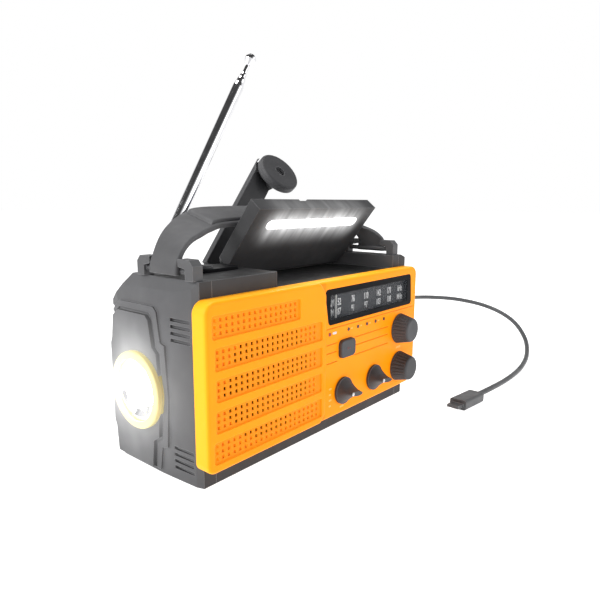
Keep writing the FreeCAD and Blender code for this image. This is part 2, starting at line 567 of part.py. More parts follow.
def gear_parts():
    cx, cz = CRANK_AXIS_X, CRANK_AXIS_Z
    crank_gear = involute_gear(CRANK_TEETH, 47.2, 50.0, cx, cz, IDLER_ANGLE, 0)
    spindle = joined([rod(V(cx, 46.4, cz), V(cx, 55.0, cz), 2.5),
                      rod(V(cx, 52.6, cz), V(cx, 61.6, cz), 4.98),
                      rod(V(cx, 61.0, cz), V(cx, 66.2, cz), 3.0)])
    pinion = involute_gear(IDLER_PINION, 47.0, 50.2, IDLER_X, IDLER_Z, IDLER_ANGLE + math.pi, 0, False)
    # both stages of the idler point a gap along their own line of centres
    wheel = involute_gear(IDLER_WHEEL, 43.0, 45.6, IDLER_X, IDLER_Z, ROTOR_ANGLE, 0, False)
    idler = joined([pinion, wheel, rod(V(IDLER_X, 40.2, IDLER_Z), V(IDLER_X, 52.3, IDLER_Z), 1.5)])
    rotor_pinion = involute_gear(ROTOR_TEETH, 42.6, 46.0, ROTOR_X, ROTOR_Z, ROTOR_ANGLE + math.pi, 0)
    rotor = joined([rotor_pinion, rod(V(ROTOR_X, 30.0, ROTOR_Z), V(ROTOR_X, 47.6, ROTOR_Z), 1.2)])
    plate_pts = [(cx - 13, cz - 8), (IDLER_X - 8, IDLER_Z - 16), (ROTOR_X + 13, ROTOR_Z - 13),
                 (ROTOR_X + 13, ROTOR_Z + 9), (cx + 10, cz + 6.6), (cx - 13, cz + 6.6)]
    rear_plate = plate_xz(plate_pts, 50.6, 52.4, 2.0)
    rear_plate = rear_plate.cut(rod(V(cx, 50, cz), V(cx, 53, cz), 2.55))
    rear_plate = rear_plate.cut(rod(V(IDLER_X, 50, IDLER_Z), V(IDLER_X, 53, IDLER_Z), 1.55))
    front_plate = plate_xz(plate_pts, 40.6, 42.2, 2.0)
    front_plate = front_plate.cut(rod(V(IDLER_X, 40, IDLER_Z), V(IDLER_X, 43, IDLER_Z), 1.55))
    front_plate = front_plate.cut(rod(V(ROTOR_X, 40, ROTOR_Z), V(ROTOR_X, 43, ROTOR_Z), 3.0))
    posts = [rod(V(x, 42.2, z), V(x, BODY_D - WALL, z), 1.8) for x, z in
             ((cx - 10.5, cz - 5.5), (IDLER_X - 5.5, IDLER_Z - 13.4), (ROTOR_X + 10, ROTOR_Z - 10))]
    bracket = joined([rear_plate, front_plate] + posts)
    stator = ring(V(ROTOR_X, 24.0, ROTOR_Z), V(ROTOR_X, 40.6, ROTOR_Z), 11.0, 7.0)
    stator = stator.fuse(ring(V(ROTOR_X, 39.0, ROTOR_Z), V(ROTOR_X, 40.6, ROTOR_Z), 7.1, 1.3))
    stator = stator.fuse(rod(V(ROTOR_X, 24.0, ROTOR_Z), V(ROTOR_X, 25.5, ROTOR_Z), 7.1))
    magnet = ring(V(ROTOR_X, 30.0, ROTOR_Z), V(ROTOR_X, 38.0, ROTOR_Z), 6.4, 1.2)
    return joined([crank_gear, spindle]), idler, joined([rotor, magnet]), bracket, stator.removeSplitter()


# ---- crank --------------------------------------------------------------------------------
HUB_POINT = V(CRANK_AXIS_X, 66.0, CRANK_AXIS_Z)
KNOB_AXIS = V(0, -math.cos(math.radians(KNOB_TILT)), math.sin(math.radians(KNOB_TILT)))
KNOB_THICK, KNOB_R = 5.6, 13.8


def crank_parts():
    cx, cz = CRANK_AXIS_X, CRANK_AXIS_Z
    along = ARM_END - HUB_POINT
    reach = along.Length
    along.normalize()
    facing = V(0, -1, 0) - along * V(0, -1, 0).dot(along)
    facing.normalize()
    across = along.cross(facing)
    # hub: disc on the spindle with two fork cheeks that hold the arm's fold pin
    hub = rod(V(cx, 61.7, cz), V(cx, 64.6, cz), 10.5)
    cheeks = []
    for side in (-1, 1):
        centre = HUB_POINT + along * 6.0 + across * (side * 6.4)
        cheek = oriented_block(centre, along, across, facing, 6.0, 2.0, 3.6)
        cheeks.append(cheek)
    pin_point = HUB_POINT + along * 8.0 - facing * 2.6
    hub = joined([hub, rod(V(cx, 61.7, cz), V(cx, 67.2, cz), 4.4)] + cheeks)
    hub = hub.common(block(-200, 400, 61.7, 120, -200, 400))
    hub = hub.cut(rod(V(cx, 60, cz), V(cx, 66.3, cz), 3.02))
    hub = hub.cut(rod(pin_point - across * 12, pin_point + across * 12, 1.55))
    fold_pin = rod(pin_point - across * 8.3, pin_point + across * 8.3, 1.5)
    # arm: root tongue between the cheeks, then a flat bar 18 mm wide
    root = rod(pin_point - across * 4.1, pin_point + across * 4.1, 3.0)
    neck = oriented_block(pin_point + along * 5.0, along, across, facing, 5.0, 4.1, 1.9)
    bar_mid = HUB_POINT + along * ((reach + 16.0) / 2) - facing * 0.6
    bar = oriented_block(bar_mid, along, across, facing, (reach - 16.0) / 2, 8.6, 1.9)
    bar = fillet_where(bar, 0.6, lambda b: b.DiagonalLength > reach - 20)
    arm = joined([root, neck, bar])
    knob_back = KNOB_FACE - KNOB_AXIS * KNOB_THICK
    boss_start = knob_back - KNOB_AXIS * 0.6
    boss = rod(boss_start - KNOB_AXIS * 8.5, boss_start, 5.2)
    limit = oriented_block(ARM_END - along * 6 + facing * 1.8, along, across, facing, 8.0, 8.6, 4.4)
    arm = arm.fuse(boss.common(limit))
    clear = rod(boss_start, KNOB_FACE + KNOB_AXIS * 4, KNOB_R + 0.8)
    arm = arm.cut(clear)
    arm = arm.cut(rod(pin_point - across * 6, pin_point + across * 6, 1.56))
    axle = rod(knob_back - KNOB_AXIS * 4.6, KNOB_FACE - KNOB_AXIS * 3.2, 2.0)
    head = rod(KNOB_FACE - KNOB_AXIS * 3.2, KNOB_FACE - KNOB_AXIS * 2.0, 3.1)
    axle = axle.fuse(head)
    arm = arm.cut(rod(knob_back - KNOB_AXIS * 4.6, KNOB_FACE, 2.0))
    knob = rod(knob_back, KNOB_FACE, KNOB_R)
    knob = fillet_where(knob, 1.5, lambda b: b.DiagonalLength > 20)
    knob = knob.cut(rod(knob_back - KNOB_AXIS, KNOB_FACE + KNOB_AXIS, 2.06))
    knob = knob.cut(rod(KNOB_FACE - KNOB_AXIS * 3.25, KNOB_FACE + KNOB_AXIS, 3.4))
    return hub, fold_pin, arm.removeSplitter(), axle, knob


def oriented_block(centre, u, v, w, hu, hv, hw):
    """Box about a centre with half sizes hu, hv, hw along three square directions."""
    a = centre - u * hu - v * hv - w * hw
    wire = Part.makePolygon([a, a + u * (2 * hu), a + u * (2 * hu) + v * (2 * hv), a + v * (2 * hv), a])
    return Part.Face(wire).extrude(w * (2 * hw))


# ---- solar panel --------------------------------------------------------------------------
def tilted(shape):
    """Turn a panel piece drawn flat (closed) up to its open angle about the hinge pin."""
    turned = shape.copy()
    turned.rotate(V(0, PANEL_PIN.y, PANEL_PIN.z), V(1, 0, 0), -PANEL_TILT)
    return turned


def panel_parts():
    """Panel drawn closed: lamp side down, solar side up, free edge towards the front."""
    py, pz = PANEL_PIN.y, PANEL_PIN.z
    half = PANEL_T / 2
    y_free = py - PANEL_LEN
    flat = block(PANEL_X0, PANEL_X1, y_free, py, pz - half, pz + half)
    edge = rod(V(PANEL_X0, py, pz), V(PANEL_X1, py, pz), half)
    frame = joined([flat, edge])
    # cut corners at the hinge end
    for x, sx in ((PANEL_X0, 1), (PANEL_X1, -1)):
        corner = plate_xy([(x - sx, py - 5.4), (x, py - 5.4), (x + sx * 6.0, py + half),
                           (x + sx * 6.0, py + half + 1), (x - sx, py + half + 1)],
                          pz - half - 1, pz + half + 1)
        frame = frame.cut(corner)
    lamp_y = py - 31.8
    slot = plate_xy(rect(60.6, 135.0, lamp_y - 2.8, lamp_y + 2.8), pz - half - 1, pz - half + 3.0, 2.7)
    frame = frame.cut(slot)
    frame = frame.cut(block(PANEL_X0 + 3.5, PANEL_X1 - 3.5, y_free + 3.2, py - 5.5,
                            pz + half - 1.4, pz + half + 1))
    frame = frame.cut(rod(V(PANEL_X0 - 1, py, pz), V(PANEL_X0 + 12, py, pz), 1.05))
    frame = frame.cut(rod(V(PANEL_X1 - 12, py, pz), V(PANEL_X1 + 1, py, pz), 1.05))
    thumb = [(83, y_free - 1), (91, y_free - 1), (89.5, y_free + 1.4), (84.5, y_free + 1.4)]
    frame = frame.cut(plate_xy(thumb, pz + half - 1.2, pz + half + 1))
    cells = block(PANEL_X0 + 3.6, PANEL_X1 - 3.6, y_free + 3.3, py - 5.6,
                  pz + half - 1.35, pz + half - 0.15)
    board = block(62.0, 133.6, lamp_y - 2.0, lamp_y + 2.0, pz - half + 1.9, pz - half + 2.95)
    diffuser = plate_xy(rect(60.7, 134.9, lamp_y - 2.7, lamp_y + 2.7),
                        pz - half - 0.15, pz - half + 1.5, 2.6)
    return [tilted(s) for s in (frame, cells, board, diffuser)]


def panel_pins():
    py, pz = PANEL_PIN.y, PANEL_PIN.z
    return (rod(V(RECESS_X0 - 1.9, py, pz), V(PANEL_X0 + 11.5, py, pz), 1.0),
            rod(V(PANEL_X1 - 11.5, py, pz), V(RECESS_X1 + 1.9, py, pz), 1.0))


# ---- carrying strap -----------------------------------------------------------------------
LEFT_HOOK_X, RIGHT_HOOK_X = (1.6, 6.6), (150.6, 155.6)
HOOK_TOP = BODY_H + 8.4


def strap_bracket(x0, x1):
    """Two hooks facing each other; their lips hold the ends of the strap's cross bar."""
    pieces = []
    for near, far, lip in ((1.2, 6.0, 10.4), (38.3, 33.5, 29.3)):
        sign = 1 if far > near else -1
        outline = [(near, BODY_H), (near, HOOK_TOP - 2.4), (near + sign * 2.2, HOOK_TOP), (lip, HOOK_TOP),
                   (lip, HOOK_TOP - 3.0), (far, HOOK_TOP - 3.8), (far, BODY_H)]
        hook = plate_yz(outline, x0, x1)
        pieces.append(hook)
    middle = (x0 + x1) / 2
    bar = rod(V(middle, 5.0, BODY_H + 3.2), V(middle, 34.5, BODY_H + 3.2), 1.3)
    return joined(pieces + [bar])


def strap():
    """Wide band that arches from bar to bar and leans back behind the raised panel."""
    left, right = sum(LEFT_HOOK_X) / 2, sum(RIGHT_HOOK_X) / 2
    top = BODY_H
    low = top + 1.6
    # x, height and front and back edges in y, then how far the front edge dips and the back rises
    stations = [(left - 0.9, low, 10.8, 28.9, 0, 0),
                (left - 0.6, top + 5.0, 10.8, 28.9, 0, 0),
                (left + 1.0, top + 8.8, 10.9, 28.95, 0, 0),
                (left + 4.2, top + 12.0, 12.4, 31.2, 0.5, 0.4),
                (left + 9.5, top + 15.0, 15.0, 35.0, 1.2, 1.1),
                (left + 17.0, top + 17.6, 18.6, 39.6, 2.2, 2.0),
                (left + 28.0, top + 20.2, 24.4, 45.6, 3.0, 2.8),
                (left + 42.0, top + 21.8, 29.2, 49.2, 3.2, 3.2),
                (80.0, top + 22.4, 29.6, 49.8, 3.0, 3.0),
                (right - 42.0, top + 22.4, 29.6, 49.8, 3.0, 3.0),
                (right - 24.0, top + 21.8, 29.8, 49.4, 2.6, 2.6),
                (right - 14.0, top + 20.8, 30.8, 48.9, 2.2, 2.2),
                (right - 6.5, top + 18.4, 32.0, 47.0, 1.4, 1.2),
                (right - 3.0, top + 16.4, 25.0, 41.4, 0.8, 0.6),
                (right - 0.6, top + 13.0, 16.5, 33.5, 0.2, 0.2),
                (right + 0.7, top + 9.0, 11.4, 29.0, 0, 0),
                (right + 1.0, top + 5.5, 10.8, 28.9, 0, 0),
                (right + 0.9, low, 10.8, 28.9, 0, 0)]
    solids = []
    frames = []
    for i, (x, z, front_y, back_y, dip, rise) in enumerate(stations):
        x0, z0 = stations[max(0, i - 1)][:2]
        x1, z1 = stations[min(len(stations) - 1, i + 1)][:2]
        normal = V(z0 - z1, 0, x1 - x0).normalize()
        inner_front = V(x, front_y, z - dip)
        inner_back = V(x, back_y, z + rise)
        lift = normal * STRAP_T
        frames.append((inner_front, inner_back, inner_back + lift, inner_front + lift))
    for a, b in zip(frames[:-1], frames[1:]):
        wires = [Part.makePolygon(list(f) + [f[0]]) for f in (a, b)]
        solids.append(Part.makeLoft(wires, True, True))
    band = joined(solids)
    for x in (left, right):
        band = band.cut(rod(V(x, 0, BODY_H + 3.2), V(x, 60, BODY_H + 3.2), 1.5))
    return band


# ---- antenna ------------------------------------------------------------------------------
def antenna_parts():
    base = TUBE_BASE
    rise = math.radians(TUBE_TILT)
    along = V(math.cos(rise), 0, math.sin(rise))
    at = lambda d: base + along * d
    foot = rod(V(base.x, base.y, 74.0), V(base.x, base.y, 80.6), 2.0)
    turret = rod(V(base.x, base.y, 77.6), V(base.x, base.y, 81.3), 4.6)
    cheeks = block(base.x - 3.6, base.x + 3.6, base.y - 4.4, base.y + 4.4, 79.0, 87.4)
    cheeks = cheeks.cut(block(base.x - 6, base.x + 6, base.y - 2.25, base.y + 2.25, 81.3, 90))
    cheeks = cheeks.common(rod(V(base.x, base.y - 5, 83.6), V(base.x, base.y + 5, 83.6), 4.4))
    housing_side = plate_yz(body_section(0), 0, 60)
    holder = joined([turret, cheeks]).cut(housing_side)
    holder = joined([holder, foot])
    holder = holder.cut(rod(V(base.x, base.y - 6, base.z), V(base.x, base.y + 6, base.z), 1.0))
    pin_bore = rod(V(base.x, base.y - 6, base.z), V(base.x, base.y + 6, base.z), 1.03)
    pin = rod(V(base.x, base.y - 4.3, base.z), V(base.x, base.y + 4.3, base.z), 0.97)
    eye = rod(V(base.x, base.y - 2.15, base.z), V(base.x, base.y + 2.15, base.z), 3.0)
    neck = rod(at(4.5), at(8.0), 2.9)
    tube1 = ring(at(6.0), at(108.0), 2.9, 2.35)
    collar = cone(at(108.0), at(110.2), 2.9, 2.5).cut(rod(at(107), at(111), 2.3))
    tube1 = joined([tube1, neck, eye, rod(at(1.5), at(8.0), 2.1), collar]).cut(pin_bore)
    tube2 = ring(at(14.0), at(112.4), 2.25, 1.75)
    tube2 = tube2.fuse(cone(at(112.4), at(113.8), 2.25, 1.9).cut(rod(at(112), at(114), 1.72)))
    lip = cone(at(115.6), at(116.8), 1.68, 1.4).cut(rod(at(115), at(117), 1.22))
    tube3 = ring(at(18.0), at(115.6), 1.68, 1.25).fuse(lip)
    rod4 = rod(at(22.0), at(123.0), 1.15)
    tip = joined([cone(at(122.0), at(125.2), 1.6, 3.0), rod(at(125.2), at(126.6), 3.0),
                  cone(at(126.6), at(128.2), 3.0, 2.0)])
    return holder, pin, tube1, tube2, tube3, joined([rod4, tip])


# ---- cable --------------------------------------------------------------------------------
def tangent_path(points):
    """Straight runs joined by arcs: each radius is 0.45 of the shorter run over tan(half the turn)."""
    edges = []
    start = points[0]
    for a, b, c in zip(points[:-2], points[1:-1], points[2:]):
        run_in, run_out = b - a, c - b
        shorter = min(run_in.Length, run_out.Length)
        turn = run_in.getAngle(run_out)
        radius = 0.45 * shorter / math.tan(turn / 2)
        back = 0.45 * shorter
        u, w = V(run_in).normalize(), V(run_out).normalize()
        first, last = b - u * back, b + w * back
        inward = (w - u).normalize()
        centre = first + (inward - u * inward.dot(u)).normalize() * radius
        middle = centre + (b - centre).normalize() * radius
        edges.append(Part.LineSegment(start, first).toShape())
        edges.append(Part.Arc(first, middle, last).toShape())
        print("  cable turn %5.1f deg  radius %6.1f" % (math.degrees(turn), radius))
        start = last
    edges.append(Part.LineSegment(start, points[-1]).toShape())
    return Part.Wire(edges)


CABLE_ROUTE = [V(184.0, 22.0, 52.0), V(209.0, 24.3, 50.9), V(233.5, 36.2, 47.0), V(257.6, 50.8, 42.0),
               V(282.4, 60.0, 37.6), V(308.8, 57.4, 34.9), V(329.6, 41.0, 32.6), V(336.9, 15.3, 28.6),
               V(329.7, -9.9, 21.4), V(312.4, -27.6, 11.0), V(288.2, -37.3, 4.0), V(261.6, -42.3, 1.75),
               V(234.5, -44.6, 1.75), V(207.3, -44.3, 1.9), V(180.2, -43.2, 3.1)]


def cable_parts():
    wire = tangent_path(CABLE_ROUTE)
    start = CABLE_ROUTE[0]
    direction = CABLE_ROUTE[1] - start
    profile = Part.Wire(Part.makeCircle(CABLE_D / 2, start, direction))
    tube = wire.makePipeShell([profile], True, False)
    expected = math.pi * (CABLE_D / 2) ** 2 * wire.Length
    print("  cable length %.1f mm, volume ratio %.4f" % (wire.Length, tube.Volume / expected))
    # output plug: metal tongue in the socket and moulded grip outside it
    y0, y1, z0, z1 = SOCKET_Y - 6.0, SOCKET_Y + 6.0, SOCKET_Z - 2.25, SOCKET_Z + 2.25
    metal = block(BODY_W - 11.5, BODY_W + 1.2, y0, y1, z0, z1)
    metal = metal.cut(block(BODY_W - 12, BODY_W + 1, y0 + 0.6, y1 - 0.6, SOCKET_Z + 0.35, z1 - 0.3))
    metal = metal.cut(block(BODY_W - 12, BODY_W - 2.2, y0 + 0.6, y1 - 0.6, SOCKET_Z + 0.35, z1 + 0.15))
    grip_outline = rect(SOCKET_Y - 7.5, SOCKET_Y + 7.5, SOCKET_Z - 4.0, SOCKET_Z + 4.0)
    grip = plate_yz(grip_outline, BODY_W + 1.2, BODY_W + 15, 1.6)
    unit = V(direction).normalize()
    relief = cone(start - unit * 5.6, start, 3.4, 2.3)
    grip = grip.fuse(relief.common(block(BODY_W + 10, 400, -50, 80, 0, 90)))
    end = CABLE_ROUTE[-1]
    out = (CABLE_ROUTE[-1] - CABLE_ROUTE[-2]).normalize()
    side = V(-out.y, out.x, 0).normalize()
    up = out.cross(side) * -1
    if up.z < 0:
        up = up * -1
    grip_end = end + out * 2.5
    body = oriented_block(grip_end + out * 11.5, out, side, up, 11.5, 5.0, 2.9)
    body = fillet_where(body, 1.4, lambda b: b.XLength > 20)
    relief2 = cone(end, end + out * 3.5, 2.0, 2.7)
    tongue = oriented_block(grip_end + out * 26.0, out, side, up, 3.4, 3.4, 0.8)
    connector = joined([relief2, body])
    return tube, metal, grip, connector, tongue


# ---- build everything ---------------------------------------------------------------------
front = -COVER_PROUD
save("main_housing", main_housing())
save("lamp_end_cap", lamp_end_cap())
save("socket_end_cap", socket_end_cap())
save("front_cover", front_cover())
bezel, reflector, chip, lens = lamp_parts()
save("torch_bezel", bezel)
save("torch_reflector", reflector)
save("torch_led", chip)
save("torch_lens", lens)
usb, micro, jack = socket_parts()
save("usb_output_socket", usb)
save("charging_socket", micro)
save("earphone_socket", jack)
dial_frame, dial_lens, dial_scale, dial_pointer = dial_parts()
save("dial_bezel", dial_frame)
save("dial_lens", dial_lens)
save("dial_scale", dial_scale)
save("dial_pointer", dial_pointer)
drum, posts, cord = cord_parts()
save("tuning_knob", fluted_knob(*TUNING_XZ))
save("tuning_shaft", joined([shaft(*TUNING_XZ, SHAFT_GRIP), drum]))
save("volume_knob", joined([fluted_knob(*VOLUME_XZ), shaft(*VOLUME_XZ, SHAFT_GRIP)]))
save("band_selector", joined([pointer_knob(*BAND_XZ), shaft(*BAND_XZ)]))
save("mode_selector", joined([pointer_knob(*MODE_XZ), shaft(*MODE_XZ)]))
save("dial_cord", cord)
save("cord_guides", *posts)
save("rotary_controls", *[control(x, z) for x, z in (TUNING_XZ, VOLUME_XZ, BAND_XZ, MODE_XZ)])
px0, px1, pz0, pz1 = POWER
power = plate_xz(rect(px0 + 0.12, px1 - 0.12, pz0 + 0.12, pz1 - 0.12), front - 2.0, front + 2.3, 2.5)
power = fillet_where(power, 0.7, lambda b: b.YMax < front - 1.9)
flange = plate_xz(rect(px0 - 1.2, px1 + 1.2, pz0 - 1.2, pz1 + 1.2), front + 2.9, front + 3.9, 2.0)
waist = plate_xz(rect(px0 + 0.6, px1 - 0.6, pz0 + 0.6, pz1 - 0.6), front + 2.2, front + 3.0, 2.0)
power = power.fuse(flange).fuse(waist)
save("power_button", power.removeSplitter())
lights = [rod(V(x, front - 0.2, z), V(x, front + 3.2, z), 0.95) for x, z in [STATUS_XZ] + DOT_XZ]
save("status_lights", *lights)
speaker_frame, cone_shell = speaker_parts()
save("speaker_frame", speaker_frame)
save("speaker_cone", cone_shell)
board = block(66, 150.5, BOARD_Y, BOARD_Y + 1.6, 14, 74)
for x, z in BOARD_POSTS:
    board = board.cut(rod(V(x, 5, z), V(x, 15, z), 1.1))
mid_x, mid_z = (px0 + px1) / 2, (pz0 + pz1) / 2
power_switch = block(mid_x - 3.4, mid_x + 3.4, -0.6, BOARD_Y, mid_z - 3.4, mid_z + 3.4)
stem = rod(V(mid_x, -1.3, mid_z), V(mid_x, 0, mid_z), 1.6)
save("main_board", joined([board, power_switch, stem]))
screws = [rod(V(x, 2.0, z), V(x, front + 2.6, z), 1.08) for x, z in COVER_SCREWS]
for x, z in BOARD_POSTS:
    thread = rod(V(x, 6.0, z), V(x, BOARD_Y + 1.6, z), 0.88)
    screws.append(thread.fuse(rod(V(x, BOARD_Y + 1.6, z), V(x, BOARD_Y + 2.8, z), 2.0)))
save("screws", *screws)
save("lithium_cell", rod(V(84, 32.5, WALL + 9.2), V(149, 32.5, WALL + 9.2), 9.2))
dx0, dx1, dz0, dz1 = DOOR
save("aaa_cells", *[rod(V(dx0 + 2.0, 51.4, z), V(dx0 + 46.2, 51.4, z), 5.2) for z in (16.7, 27.5, 38.3)])
crank_gear, idler, rotor, bracket, stator = gear_parts()
save("crank_gear", crank_gear)
save("idler_gear", idler)
save("generator_rotor", rotor)
save("gearbox_frame", bracket)
save("generator_stator", stator)
hub, fold_pin, arm, axle, knob = crank_parts()
save("crank_hub", hub)
save("crank_fold_pin", fold_pin)
save("crank_arm", arm)
save("crank_knob_axle", axle)
save("crank_knob", knob)
frame, cells, led_board, diffuser = panel_parts()
save("solar_panel_frame", frame)
save("solar_cells", cells)
save("panel_lamp_board", led_board)
save("panel_lamp_lens", diffuser)
save("strap_brackets", strap_bracket(*LEFT_HOOK_X), strap_bracket(*RIGHT_HOOK_X))
save("carrying_strap", strap())
holder, antenna_pin, tube1, tube2, tube3, tip = antenna_parts()
save("antenna_holder", holder)
save("hinge_pins", *panel_pins(), antenna_pin)
save("antenna_tube_1", tube1)
save("antenna_tube_2", tube2)
save("antenna_tube_3", tube3)
save("antenna_tip_rod", tip)
stadium = plate_xy(rect(19.0, 44.0, 18.6, 32.4), BODY_H, BODY_H + 1.5, [6.8, 3.0, 3.0, 6.8])
up = V(0, 0, 1)
stadium = stadium.cut(rod(TOP_BUTTON - up, TOP_BUTTON + up * 3, 4.6))
save("lamp_button_bezel", stadium)
top_button = rod(TOP_BUTTON - up * 3.4, TOP_BUTTON + up * 2.6, 4.5)
top_button = fillet_where(top_button, 0.8, lambda b: b.ZMin > BODY_H + 2.5)
save("lamp_button", top_button)
door = block(dx0 + 0.15, dx1 - 0.15, BODY_D - WALL + 0.1, BODY_D, dz0 + 0.15, dz1 - 0.15)
door = door.fuse(block(dx0 - 1.35, dx1 + 1.35, BODY_D - 1.15, BODY_D, dz0 - 1.35, dz1 + 1.35))
door = door.cut(plate_xz([(118, 40), (127, 40), (122.5, 35.5)], BODY_D - 0.6, BODY_D + 1, 0.8))
save("battery_door", door)
tube, metal, grip, connector, tongue = cable_parts()
save("cable", tube)
save("cable_usb_plug", metal)
save("cable_plug_grip", grip)
save("cable_phone_connector", connector, tongue)

body_boxes = [b for n, b in BOXES.items() if not n.startswith("cable")]
whole = FreeCAD.BoundBox(body_boxes[0])
for b in body_boxes[1:]:
    whole.add(b)
print("whole without cable: x %.2f %.2f  y %.2f %.2f  z %.2f %.2f" % (
    whole.XMin, whole.XMax, whole.YMin, whole.YMax, whole.ZMin, whole.ZMax))
print("nodes", len(BOXES))
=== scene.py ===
import json
import math

import bpy
from mathutils import Matrix, Vector


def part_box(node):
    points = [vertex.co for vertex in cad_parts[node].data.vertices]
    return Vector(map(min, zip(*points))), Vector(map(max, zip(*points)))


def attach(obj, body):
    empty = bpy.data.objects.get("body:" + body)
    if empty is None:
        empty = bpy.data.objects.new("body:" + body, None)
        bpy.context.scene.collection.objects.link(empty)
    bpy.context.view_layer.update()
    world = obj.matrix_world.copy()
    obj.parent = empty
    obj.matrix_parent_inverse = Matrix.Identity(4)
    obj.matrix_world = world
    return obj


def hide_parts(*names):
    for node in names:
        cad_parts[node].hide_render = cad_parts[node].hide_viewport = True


# Looks of the portable emergency radio.  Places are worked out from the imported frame: CORNER is
# the body's front, lower corner at the torch end, and at() turns millimetres from it into metres.

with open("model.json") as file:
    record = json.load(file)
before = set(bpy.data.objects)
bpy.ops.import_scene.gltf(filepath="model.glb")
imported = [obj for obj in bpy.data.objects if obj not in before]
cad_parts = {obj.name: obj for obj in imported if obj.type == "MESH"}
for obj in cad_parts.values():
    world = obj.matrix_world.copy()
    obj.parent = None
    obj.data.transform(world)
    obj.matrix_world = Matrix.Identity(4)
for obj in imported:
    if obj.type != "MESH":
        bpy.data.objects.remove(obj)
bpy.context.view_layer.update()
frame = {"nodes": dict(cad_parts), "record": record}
NODES = frame["nodes"]
BODY_LENGTH = 165.0
SELECTOR_TURN = math.radians(-9)
CORNER = Vector((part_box("socket_end_cap")[1].x - BODY_LENGTH / 1000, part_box("lamp_end_cap")[0].y, 0))


def at(x, y, z):
    return CORNER + Vector((x, y, z)) / 1000


def mm(value):
    return value / 1000


